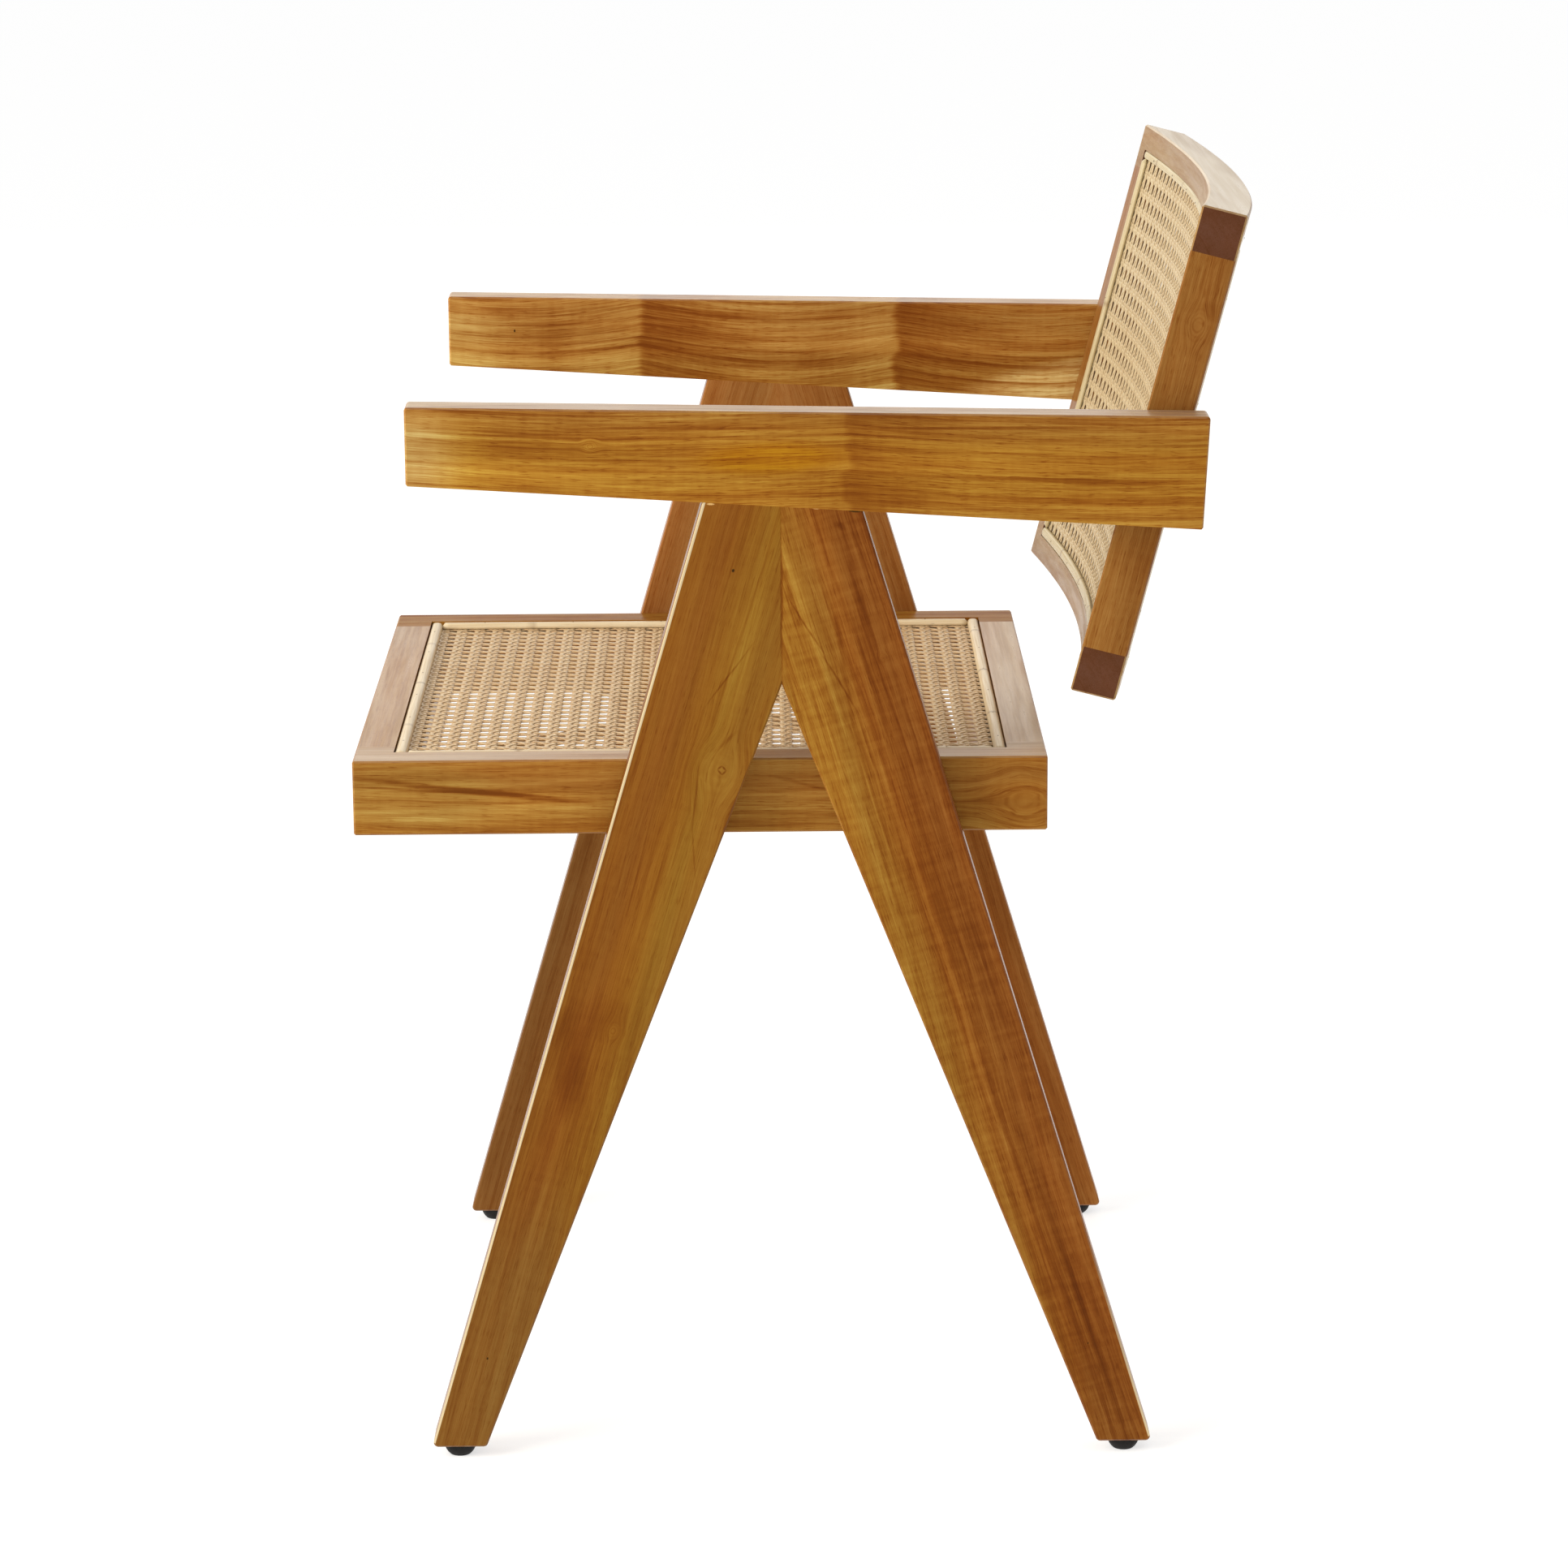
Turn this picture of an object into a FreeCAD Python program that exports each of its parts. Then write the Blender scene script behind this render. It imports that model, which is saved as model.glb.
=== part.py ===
import FreeCAD, Part
import math
import os

# An open armchair in solid wood: two side frames, each a front and a rear leg that meet in an
# upturned V under a tapered arm, a seat frame between them, and a bowed back frame hung between
# the arms. The seat has one woven cane panel and the back has two, held down by half-round beads.
# Millimetres and degrees. The chair faces -Y, +Z is up, +X is the sitter's left, and the origin
# lies on the floor at the middle of the chair's footprint.

Vector = FreeCAD.Vector

# Legs and arms
board_thickness = 25.0
arm_front_length = 230.4  # from the legs' seam to the arm's front end
arm_rear_length = 264.3  # from the legs' seam to the arm's rear end, along its top
arm_front_height = 684.8  # floor to the arm's top at its front end
arm_top_fall = 9.5  # drop of the arm's top from front to rear
arm_front_depth = 48.8
arm_rear_depth = 70.3
arm_end_lean = 3.8  # the rear end's bottom lies this much further forward than its top
arm_corner_radius = 2.2  # the two upper corners
front_leg_top_width = 48.4
rear_leg_top_width = 50.5
seam_length = 112.0  # from the arm's underside down to the crotch
front_foot_reach = 228.5  # from the seam to the front leg's front edge at the foot
rear_foot_reach = 234.9
foot_width = 35.0
foot_corner_radius = 3.0
arris_cut = 1.1  # flat cut that eases an exposed arris

# Seat frame
frame_width = 450.0  # outside width of the seat frame and of the back frame
seat_depth = 437.0
seat_height = 456.5
seat_rail_height = 48.0
seat_rail_width = 40.0
seat_bare_margin = 24.5  # bare wood from the frame's edge to the bead
seat_rebate_depth = 6.0
seam_place_share = 0.618  # where the legs' seam stands, as a share of the seat's depth

# Back frame
back_rise = 127.4  # from the arm's rear top corner up to the back frame's top edge
back_setback = 7.8  # from the arm's rear top corner forward to the back frame's rear face
back_tilt = 14.6
back_length = 314.0
back_thickness = 28.5
back_bow = 19.0  # how far the middle of the back lies behind its two sides
back_rail_height = 29.0
back_stile_width = 30.0
back_bare_margin = 16.0
back_rebate_depth = 4.0

# Cane panels and the half-round beads that hold their edges
cane_thickness = 2.0
cane_gap_pitch = 25.2
cane_gap_share = 0.62
cane_clearance = 0.3
cane_seat_gap = 0.1  # keeps the flat strips of a bowed panel clear of its curved seat
cane_strips = 5  # solids side by side in a bowed panel
bead_radius = 4.0
bead_facets = 8  # flats in the half round
bead_clearance = 0.1

# Two straps that cross under the seat cane
strap_width = 24.0
strap_thickness = 1.5
strap_depth = 18.0  # from the seat frame's top down to the upper strap
strap_tab_height = 16.0
strap_place_share = 0.825  # where a strap meets a rail, as a share of half the opening

# Glides under the feet, each a half ball cut flat at the floor
glide_radius = 10.5
glide_height = 8.0
nail_radius = 1.4
nail_length = 24.0
nail_head_radius = 3.2
nail_head_height = 1.2
nail_cover = 2.5  # plastic left under the nail's head
nail_sides = 8

# Tenons on the ends of legs, rails and stiles, and loose tongues let into both of two pieces
joint_gap = 0.1
arm_tenon_thickness = 9.0
arm_tenon_reach = 26.0
arm_tenon_width_share = 0.6  # of the leg's width under the arm
leg_tongue_thickness = 9.0
leg_tongue_reach = 13.0
leg_tongue_height_share = 0.6  # of the seam's height
seat_tenon_height = 24.0
seat_tenon_thickness = 14.0
seat_tenon_reach = 22.0
seat_tongue_height = 16.0
seat_tongue_width = 28.0
seat_tongue_reach = 14.0
back_tenon_width = 16.0
back_tenon_thickness = 9.0
back_tenon_reach = 15.0
arm_tongue_height = 36.0
arm_tongue_thickness = 9.0
arm_tongue_reach = 14.0

# Cutting tools run past the wood by this much
overrun = 5.0
same_place = 0.01

# Places that follow from the sizes above, measured from the legs' seam along Y at first
half_width = frame_width / 2
outer_face = half_width + board_thickness
arm_rear_height = arm_front_height - arm_top_fall
arm_underside_front = arm_front_height - arm_front_depth
arm_underside_rear = arm_rear_height - arm_rear_depth
tilt_sine = math.sin(math.radians(back_tilt))
tilt_cosine = math.cos(math.radians(back_tilt))
back_top_height = arm_rear_height + back_rise
bow_radius = (half_width ** 2 + back_bow ** 2) / (2 * back_bow)
bow_centre = back_bow - bow_radius
rear_bow_radius = bow_radius + back_thickness
side_thickness = bow_centre + math.sqrt(rear_bow_radius ** 2 - half_width ** 2)
back_drop_to_arm = (back_rise - side_thickness * tilt_sine) / tilt_cosine
back_from_seam = (arm_rear_length - back_setback + back_drop_to_arm * tilt_sine
                  - side_thickness * tilt_cosine)
rearmost_from_seam = (back_from_seam + (back_bow + back_thickness) * tilt_cosine
                      - arris_cut * tilt_sine)
foremost_from_seam = -max(seat_depth * seam_place_share, arm_front_length, front_foot_reach)

# The same places in the chair's own frame
seam_y = -(foremost_from_seam + rearmost_from_seam) / 2
seat_front = seam_y - seat_depth * seam_place_share
seat_rear = seat_front + seat_depth
seat_floor = seat_height - seat_rebate_depth
seat_underside = seat_height - seat_rail_height
arm_front = seam_y - arm_front_length
arm_rear = seam_y + arm_rear_length
arm_rear_bottom = arm_rear - arm_end_lean
back_y = seam_y + back_from_seam
bead_width = 2 * bead_radius
strap_height = seat_height - strap_depth


def arm_underside(y):
    """Height of the arm's sloping underside at a place along Y."""
    share = (y - arm_front) / (arm_rear_bottom - arm_front)
    return arm_underside_front + share * (arm_underside_rear - arm_underside_front)


crotch_height = arm_underside(seam_y) - seam_length


def rounded_outline(points, radii):
    """A closed wire in the YZ plane through the points, each corner rounded by its radius."""
    corners = [Vector(0, y, z) for y, z in points]
    count = len(corners)
    starts, ends, arcs = [], [], []
    for i, corner in enumerate(corners):
        before = (corners[i - 1] - corner).normalize()
        after = (corners[(i + 1) % count] - corner).normalize()
        half = before.getAngle(after) / 2
        run = radii[i] / math.tan(half)
        starts.append(corner + before * run)
        ends.append(corner + after * run)
        middle = (before + after).normalize() * (radii[i] / math.sin(half) - radii[i])
        arcs.append(Part.Arc(starts[i], corner + middle, ends[i]).toShape() if radii[i] else None)
    edges = []
    for i in range(count):
        if arcs[i]:
            edges.append(arcs[i])
        edges.append(Part.LineSegment(ends[i], starts[(i + 1) % count]).toShape())
    return Part.Wire(edges)


def board(points, radii):
    """A board of the left side frame, from the seat frame's side out to the outer face."""
    face = Part.Face(rounded_outline(points, radii))
    solid = face.extrude(Vector(board_thickness, 0, 0))
    return solid.translated(Vector(half_width, 0, 0))


def eased(solid, wanted):
    """The solid with the arris of each wanted edge cut back."""
    edges = [edge for edge in solid.Edges if wanted(edge)]
    return solid.makeChamfer(arris_cut, edges)


def middle_of(edge):
    return edge.valueAt((edge.FirstParameter + edge.LastParameter) / 2)


def on_plane(edge, axis, place):
    """Whether an edge lies wholly at one place along X, Y or Z (axis 0, 1 or 2)."""
    spots = [edge.valueAt(edge.FirstParameter), middle_of(edge), edge.valueAt(edge.LastParameter)]
    return all(abs(spot[axis] - place) < same_place for spot in spots)


def on_side_face(edge):
    return on_plane(edge, 0, half_width) or on_plane(edge, 0, outer_face)


def under_arm(edge):
    """Whether an edge lies in the plane of the arm's underside."""
    spots = [edge.valueAt(edge.FirstParameter), edge.valueAt(edge.LastParameter)]
    return all(abs(spot.z - arm_underside(spot.y)) < same_place for spot in spots)


def block(centre, length_x, length_y, length_z, gap=0):
    """A block centred on a point, larger by a gap on every side."""
    size = Vector(length_x + 2 * gap, length_y + 2 * gap, length_z + 2 * gap)
    return Part.makeBox(size.x, size.y, size.z, centre - size / 2)


def mirrored(shape):
    return shape.mirror(Vector(0, 0, 0), Vector(1, 0, 0))


def with_mirrored(shapes):
    """The left side's shapes followed by their mirror images."""
    return list(shapes) + [mirrored(shape) for shape in shapes]


# Side frames. Each leg is given by its direction from the seam, its top width and its foot reach.
leg_forms = {
    "front_leg": (-1, front_leg_top_width, front_foot_reach),
    "rear_leg": (1, rear_leg_top_width, rear_foot_reach),
}
board_middle = half_width + board_thickness / 2


def arm_tenon(form, gap=0):
    """The tenon on a leg's top; its lower half lies in the leg itself."""
    direction, top_width, _ = form
    y = seam_y + direction * top_width / 2
    centre = Vector(board_middle, y, arm_underside(y))
    return block(centre, arm_tenon_thickness, arm_tenon_width_share * top_width,
                 2 * arm_tenon_reach, gap)


def leg_tongue(gap=0):
    """The loose tongue between the two legs, above the crotch."""
    centre = Vector(board_middle, seam_y, crotch_height + seam_length / 2)
    return block(centre, leg_tongue_thickness, 2 * leg_tongue_reach,
                 leg_tongue_height_share * seam_length, gap)


def leg_middle(form, height):
    """Middle of a leg along Y at a height below the crotch, between its two edges."""
    direction, top_width, foot_reach = form
    top = arm_underside(seam_y + direction * top_width)
    outer_share = (top - height) / (top - glide_height)
    outer = top_width + outer_share * (foot_reach - top_width)
    inner_share = (crotch_height - height) / (crotch_height - glide_height)
    inner = inner_share * (foot_reach - foot_width)
    return seam_y + direction * (outer + inner) / 2


def seat_tongues(gap=0):
    """Loose tongues between the left side rail and the two legs that carry it."""
    height = (seat_floor + seat_underside) / 2
    return [block(Vector(half_width, leg_middle(form, height), height), 2 * seat_tongue_reach,
                  seat_tongue_width, seat_tongue_height, gap) for form in leg_forms.values()]


def glide_centre(form):
    """Middle of a left foot, on the floor."""
    direction, _, foot_reach = form
    return Vector(board_middle, seam_y + direction * (foot_reach - foot_width / 2), 0)


def prism(centre, radius, height):
    """An upright prism that stands in for a small round pin."""
    turns = [2 * math.pi * i / nail_sides for i in range(nail_sides)]
    points = [centre + Vector(radius * math.cos(turn), radius * math.sin(turn), 0)
              for turn in turns]
    return Part.Face(Part.makePolygon(points + points[:1])).extrude(Vector(0, 0, height))


def glide_nail(form, gap=0):
    """The nail of a glide, its head low in the glide and its point up in the foot."""
    low = glide_centre(form) + Vector(0, 0, nail_cover - gap)
    head = prism(low, nail_head_radius + gap, nail_head_height + 2 * gap)
    shank = prism(low, nail_radius + gap, nail_length + 2 * gap)
    return head.fuse(shank).removeSplitter()


def glide(form):
    """A half ball, cut flat where it meets the floor and let in for its nail."""
    lowest = -math.degrees(math.asin(glide_height / glide_radius))
    dome = Part.makeSphere(glide_radius, glide_centre(form) + Vector(0, 0, glide_height),
                           Vector(0, 0, 1), lowest, 0)
    return dome.cut(glide_nail(form, joint_gap))


def leg(form):
    """A tapered leg with its tenon, let in for the tongues and the glide's nail."""
    direction, top_width, foot_reach = form
    outer_top = seam_y + direction * top_width
    foot_outer = seam_y + direction * foot_reach
    foot_inner = foot_outer - direction * foot_width
    points = [
        (outer_top, arm_underside(outer_top)),
        (foot_outer, glide_height),
        (foot_inner, glide_height),
        (seam_y, crotch_height),
        (seam_y, arm_underside(seam_y)),
    ]
    radii = [0, foot_corner_radius, foot_corner_radius, 0, 0]

    def wanted(edge):
        return on_side_face(edge) and not (under_arm(edge) or on_plane(edge, 1, seam_y))

    holes = [leg_tongue(joint_gap), glide_nail(form, joint_gap)] + seat_tongues(joint_gap)
    return eased(board(points, radii), wanted).fuse(arm_tenon(form)).cut(holes)


def arm():
    """The arm: its upper corners rounded, its underside left sharp where the legs meet it."""
    points = [
        (arm_front, arm_underside_front),
        (arm_front, arm_front_height),
        (arm_rear, arm_rear_height),
        (arm_rear_bottom, arm_underside_rear),
    ]
    radii = [0, arm_corner_radius, arm_corner_radius, 0]

    def wanted(edge):
        return on_side_face(edge) != under_arm(edge)

    holes = [arm_tenon(form, joint_gap) for form in leg_forms.values()]
    holes.append(in_chair(arm_tongue(joint_gap)))
    return eased(board(points, radii), wanted).cut(holes)


# Back frame, drawn upright in its own frame: X across, Y to the rear, Z down from the top edge.
# Its faces lie on circles about one upright axis, in front of the chair.
def in_chair(shape):
    """Leans a shape of the upright back frame and sets it in its place between the arms."""
    placed = shape.copy()
    placed.rotate(Vector(0, 0, 0), Vector(1, 0, 0), -back_tilt)
    placed.translate(Vector(0, back_y, back_top_height))
    return placed


def bow_point(radius, x):
    return Vector(x, bow_centre + math.sqrt(radius ** 2 - x ** 2), 0)


def bow_arc(radius, low_x, high_x):
    middle = bow_point(radius, (low_x + high_x) / 2)
    return Part.Arc(bow_point(radius, low_x), middle, bow_point(radius, high_x)).toShape()


def bowed_slab(inner_radius, outer_radius, low_x, high_x, top, bottom):
    """A bowed slab between two circles, two upright planes and two depths below the top edge."""
    sides = [Part.LineSegment(bow_point(inner_radius, x), bow_point(outer_radius, x)).toShape()
             for x in (low_x, high_x)]
    edges = [bow_arc(inner_radius, low_x, high_x), sides[1],
             bow_arc(outer_radius, low_x, high_x), sides[0]]
    face = Part.Face(Part.Wire(edges))
    return face.extrude(Vector(0, 0, bottom - top)).translated(Vector(0, 0, -bottom))


recess_half_width = half_width - back_bare_margin
recess_bottom = back_length - back_bare_margin


def back_recesses():
    """The shallow recesses in the front and rear faces, where the cane and the beads lie."""
    depths = ((bow_radius - overrun, bow_radius + back_rebate_depth),
              (rear_bow_radius - back_rebate_depth, rear_bow_radius + overrun))
    return [bowed_slab(inner, outer, -recess_half_width, recess_half_width,
                       back_bare_margin, recess_bottom) for inner, outer in depths]


def back_middle(x):
    """Middle of the back frame's thickness at a place across it."""
    return (bow_point(bow_radius, x).y + bow_point(rear_bow_radius, x).y) / 2


def back_tenons(gap=0):
    """The tenons on the left stile's two ends; the inner half of each lies in the stile."""
    x = half_width - back_stile_width / 2
    return [block(Vector(x, back_middle(x), z), back_tenon_width, back_tenon_thickness,
                  2 * back_tenon_reach, gap)
            for z in (-back_rail_height, back_rail_height - back_length)]


def arm_tongue(gap=0):
    """The loose tongue between the left stile and the arm, in the upright back's frame."""
    depth = back_middle(half_width)
    share_along = (back_y + depth - arm_front) / (arm_rear - arm_front)
    arm_top = arm_front_height - share_along * arm_top_fall
    middle_height = (arm_top + arm_underside(back_y)) / 2
    drop = (back_top_height - middle_height - depth * tilt_sine) / tilt_cosine
    return block(Vector(half_width, depth, -drop), 2 * arm_tongue_reach, arm_tongue_thickness,
                 arm_tongue_height, gap)


def back_rail(top, bottom, free_level):
    """A bowed rail, full width, with the arrises of its free face and of its two ends eased."""
    slab = bowed_slab(bow_radius, rear_bow_radius, -half_width, half_width, top, bottom)

    def wanted(edge):
        at_end = on_plane(edge, 0, half_width) or on_plane(edge, 0, -half_width)
        upright = not (on_plane(edge, 2, -top) or on_plane(edge, 2, -bottom))
        return on_plane(edge, 2, -free_level) or (at_end and upright)

    return eased(slab, wanted).cut(back_recesses() + with_mirrored(back_tenons(joint_gap)))


def back_stile():
    """The left stile, between the rails, with its two outer arrises eased."""
    low, high = back_rail_height, back_length - back_rail_height
    slab = bowed_slab(bow_radius, rear_bow_radius, half_width - back_stile_width, half_width,
                      low, high)

    def wanted(edge):
        upright = not (on_plane(edge, 2, -low) or on_plane(edge, 2, -high))
        return on_plane(edge, 0, half_width) and upright

    blank = eased(slab, wanted).cut(back_recesses() + [arm_tongue(joint_gap)])
    return blank.fuse(back_tenons())


def gap_places(opening):
    """Middles of a row of gaps that fills an opening at the cane's pitch."""
    count = int(opening // cane_gap_pitch)
    return [(i - (count - 1) / 2) * cane_gap_pitch for i in range(count)]


def back_cane(inner_radius):
    """A bowed cane panel, flat at each column of gaps and built as strips that lie side by side."""
    half = recess_half_width - cane_clearance
    columns = gap_places(frame_width - 2 * back_stile_width)
    folds = [x - cane_gap_pitch / 2 for x in columns + [columns[-1] + cane_gap_pitch]]
    places = [-half] + folds + [half]
    inner_ends = [1 + i * len(columns) // cane_strips for i in range(1, cane_strips)]
    ends = [0] + inner_ends + [len(places) - 1]
    low = recess_bottom - cane_clearance
    height = low - back_bare_margin - cane_clearance
    gap = cane_gap_pitch * cane_gap_share
    depth = 2 * (back_bow + back_thickness)
    cuts = [block(Vector(x, 0, z - back_length / 2), gap, depth, gap)
            for x in columns for z in gap_places(back_length - 2 * back_rail_height)]
    strips = []
    for start, end in zip(ends, ends[1:]):
        own_places = places[start:end + 1]
        outline = [bow_point(inner_radius, x) for x in own_places]
        outline += [bow_point(inner_radius + cane_thickness, x) for x in reversed(own_places)]
        strip = Part.Face(Part.makePolygon(outline + outline[:1])).extrude(Vector(0, 0, height))
        strips.append(strip.translated(Vector(0, 0, -low)).cut(cuts))
    return Part.makeCompound(strips)


def half_round(base, outward):
    """The bead's section: half a disc in the YZ plane, its flat at Y = base, bulging outward."""
    turns = [math.pi * i / bead_facets for i in range(bead_facets + 1)]
    points = [Vector(0, base + outward * bead_radius * math.sin(turn),
                     bead_radius * math.cos(turn)) for turn in turns]
    return Part.Face(Part.makePolygon(points + points[:1]))


def back_beads(base_radius, outward):
    """Four beads on one face of the back: two follow the bow, two stand between them."""
    reach = recess_half_width - bead_clearance
    widest = base_radius + max(0, outward) * bead_radius
    half_angle = math.degrees(math.asin(reach / widest))
    section = half_round(bow_centre + base_radius, outward)
    axis_point = Vector(0, bow_centre, 0)
    up = Vector(0, 0, 1)
    section.rotate(axis_point, up, -half_angle)
    arch = section.revolve(axis_point, up, 2 * half_angle)
    inset = back_bare_margin + bead_clearance + bead_radius
    top = arch.translated(Vector(0, 0, -inset))
    bottom = arch.translated(Vector(0, 0, inset - back_length))
    upright_start = back_bare_margin + bead_width + 2 * bead_clearance
    length = back_length - 2 * upright_start
    upright = half_round(bow_centre + base_radius, outward)
    upright.rotate(Vector(0, bow_centre + base_radius, 0), Vector(0, 1, 0), 90)
    post = upright.extrude(Vector(0, 0, length)).translated(Vector(0, 0, upright_start - back_length))
    turn = math.degrees(math.asin((reach - bead_radius) / widest))
    post.rotate(axis_point, up, -turn)
    return {"top": top, "bottom": bottom, "left": post, "right": mirrored(post)}


# Seat frame, cane and straps
def seat_box(low_x, high_x, low_y, high_y, low_z, high_z):
    return Part.makeBox(high_x - low_x, high_y - low_y, high_z - low_z, Vector(low_x, low_y, low_z))


seat_recess_half = half_width - seat_bare_margin
seat_recess_front = seat_front + seat_bare_margin
seat_recess_rear = seat_rear - seat_bare_margin
seat_opening_half = half_width - seat_rail_width


def seat_recess():
    """The rebate in the top of the four seat rails, where the cane and the beads lie."""
    return seat_box(-seat_recess_half, seat_recess_half, seat_recess_front, seat_recess_rear,
                    seat_floor, seat_height + overrun)


def seat_tenons(gap=0):
    """The tenons that run from the front and rear rails into the left side rail."""
    height = (seat_floor + seat_underside) / 2
    return [block(Vector(seat_opening_half, y, height), 2 * seat_tenon_reach,
                  seat_tenon_thickness, seat_tenon_height, gap)
            for y in (seat_front + seat_rail_width / 2, seat_rear - seat_rail_width / 2)]


def seat_side_rail():
    """The left side rail: full length, its end grain showing front and rear."""
    blank = seat_box(seat_opening_half, half_width, seat_front, seat_rear,
                     seat_underside, seat_height)

    def wanted(edge):
        at_end = on_plane(edge, 1, seat_front) or on_plane(edge, 1, seat_rear)
        return on_plane(edge, 0, half_width) or (at_end and not on_plane(edge, 0, seat_opening_half))

    holes = seat_tenons(joint_gap) + seat_tongues(joint_gap)
    return eased(blank, wanted).cut([seat_recess()] + holes)


def seat_cross_rail(outer_y, inner_y, tenon):
    """The front or rear rail, between the side rails, with a tenon at each end."""
    blank = seat_box(-seat_opening_half, seat_opening_half, min(outer_y, inner_y),
                     max(outer_y, inner_y), seat_underside, seat_height)

    def wanted(edge):
        across = not (on_plane(edge, 0, -seat_opening_half) or on_plane(edge, 0, seat_opening_half))
        return on_plane(edge, 1, outer_y) and across

    return eased(blank, wanted).cut(seat_recess()).fuse(with_mirrored([tenon]))


def seat_cane():
    """The flat cane panel: one face pierced by a grid of square gaps, then given its thickness."""
    half_x = seat_recess_half - cane_clearance
    low_y = seat_recess_front + cane_clearance
    high_y = seat_recess_rear - cane_clearance
    gap = cane_gap_pitch * cane_gap_share
    middle_y = (seat_front + seat_rear) / 2
    sheet = Part.makePlane(2 * half_x, high_y - low_y, Vector(-half_x, low_y, seat_floor))
    gaps = []
    for x in gap_places(2 * seat_opening_half):
        for y in gap_places(seat_depth - 2 * seat_rail_width):
            corner = Vector(x - gap / 2, middle_y + y - gap / 2, seat_floor)
            gaps.append(Part.makePlane(gap, gap, corner))
    return sheet.cut(gaps).Faces[0].extrude(Vector(0, 0, cane_thickness))


def seat_bead(length, direction, centre):
    """A straight bead on the seat cane, flat side down, centred on a point of the cane's top."""
    section = half_round(0, 1)
    section.rotate(Vector(0, 0, 0), Vector(1, 0, 0), 90)
    bead = section.extrude(Vector(length, 0, 0)).translated(Vector(-length / 2, 0, 0))
    if direction == "along_y":
        bead.rotate(Vector(0, 0, 0), Vector(0, 0, 1), 90)
    return bead.translated(centre)


def seat_beads():
    """Front and rear beads run the full width of the recess; the side beads fit between them."""
    inset = bead_clearance + bead_radius
    cane_top = seat_floor + cane_thickness
    middle_y = (seat_front + seat_rear) / 2
    full = 2 * (seat_recess_half - bead_clearance)
    between = seat_recess_rear - seat_recess_front - 2 * bead_width - 4 * bead_clearance
    side = seat_bead(between, "along_y", Vector(seat_recess_half - inset, middle_y, cane_top))
    return {
        "front": seat_bead(full, "along_x", Vector(0, seat_recess_front + inset, cane_top)),
        "rear": seat_bead(full, "along_x", Vector(0, seat_recess_rear - inset, cane_top)),
        "left": side,
        "right": mirrored(side),
    }


def strap(lean, top):
    """A taut strap from the front rail to the rear rail, its ends turned down on their faces.

    lean is 1 or -1: on which side of the chair its rear end lies.
    """
    front_y = seat_front + seat_rail_width
    rear_y = seat_rear - seat_rail_width
    place = strap_place_share * seat_opening_half
    angle = math.atan2(rear_y - front_y, 2 * place)
    half_cut = strap_width / (2 * math.sin(angle))
    level = top - strap_thickness
    outline = [
        Vector(-lean * place - half_cut, front_y, level),
        Vector(-lean * place + half_cut, front_y, level),
        Vector(lean * place + half_cut, rear_y, level),
        Vector(lean * place - half_cut, rear_y, level),
    ]
    web = Part.Face(Part.makePolygon(outline + outline[:1])).extrude(Vector(0, 0, strap_thickness))
    tabs = []
    for x, y in ((-lean * place, front_y), (lean * place, rear_y - strap_thickness)):
        tabs.append(seat_box(x - half_cut, x + half_cut, y, y + strap_thickness,
                             top - strap_tab_height, top))
    return web.fuse(tabs).removeSplitter()


# The whole chair, one named piece or group of like pieces at a time
def build():
    pieces = {}
    side_boards = {name: leg(form) for name, form in leg_forms.items()}
    side_boards["arm"] = arm()
    for name, solid in side_boards.items():
        pieces[name + "_left"] = solid
        pieces[name + "_right"] = mirrored(solid)

    side_rail = seat_side_rail()
    front_tenon, rear_tenon = seat_tenons()
    pieces["seat_rail_left"] = side_rail
    pieces["seat_rail_right"] = mirrored(side_rail)
    pieces["seat_rail_front"] = seat_cross_rail(
        seat_front, seat_front + seat_rail_width, front_tenon)
    pieces["seat_rail_rear"] = seat_cross_rail(seat_rear, seat_rear - seat_rail_width, rear_tenon)
    pieces["seat_cane"] = seat_cane()
    for name, bead in seat_beads().items():
        pieces["seat_bead_" + name] = bead
    pieces["seat_strap_upper"] = strap(1, strap_height)
    pieces["seat_strap_lower"] = strap(-1, strap_height - strap_thickness)

    stile = in_chair(back_stile())
    pieces["back_stile_left"] = stile
    pieces["back_stile_right"] = mirrored(stile)
    pieces["back_rail_top"] = in_chair(back_rail(0, back_rail_height, 0))
    pieces["back_rail_bottom"] = in_chair(
        back_rail(back_length - back_rail_height, back_length, back_length))
    front_cane = bow_radius + back_rebate_depth - cane_seat_gap - cane_thickness
    rear_cane = rear_bow_radius - back_rebate_depth + cane_seat_gap
    pieces["back_cane_front"] = in_chair(back_cane(front_cane))
    pieces["back_cane_rear"] = in_chair(back_cane(rear_cane))
    for name, bead in back_beads(front_cane - cane_seat_gap, -1).items():
        pieces["back_front_bead_" + name] = in_chair(bead)
    for name, bead in back_beads(rear_cane + cane_thickness, 1).items():
        pieces["back_rear_bead_" + name] = in_chair(bead)

    groups = {
        "front_glides": [glide(leg_forms["front_leg"])],
        "rear_glides": [glide(leg_forms["rear_leg"])],
        "glide_nails": [glide_nail(form) for form in leg_forms.values()],
        "leg_seam_tongues": [leg_tongue()],
        "seat_to_leg_tongues": seat_tongues(),
        "back_to_arm_tongues": [in_chair(arm_tongue())],
    }
    for name, solids in groups.items():
        pieces[name] = Part.makeCompound(with_mirrored(solids))
    return pieces


os.makedirs("parts", exist_ok=True)
for node, shape in build().items():
    shape.exportStep("parts/" + node + ".step")
    print(node, len(shape.Solids), shape.isValid())
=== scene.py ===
import math
from dataclasses import dataclass

import bpy
import numpy as np
from mathutils import Matrix, Vector


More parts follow.
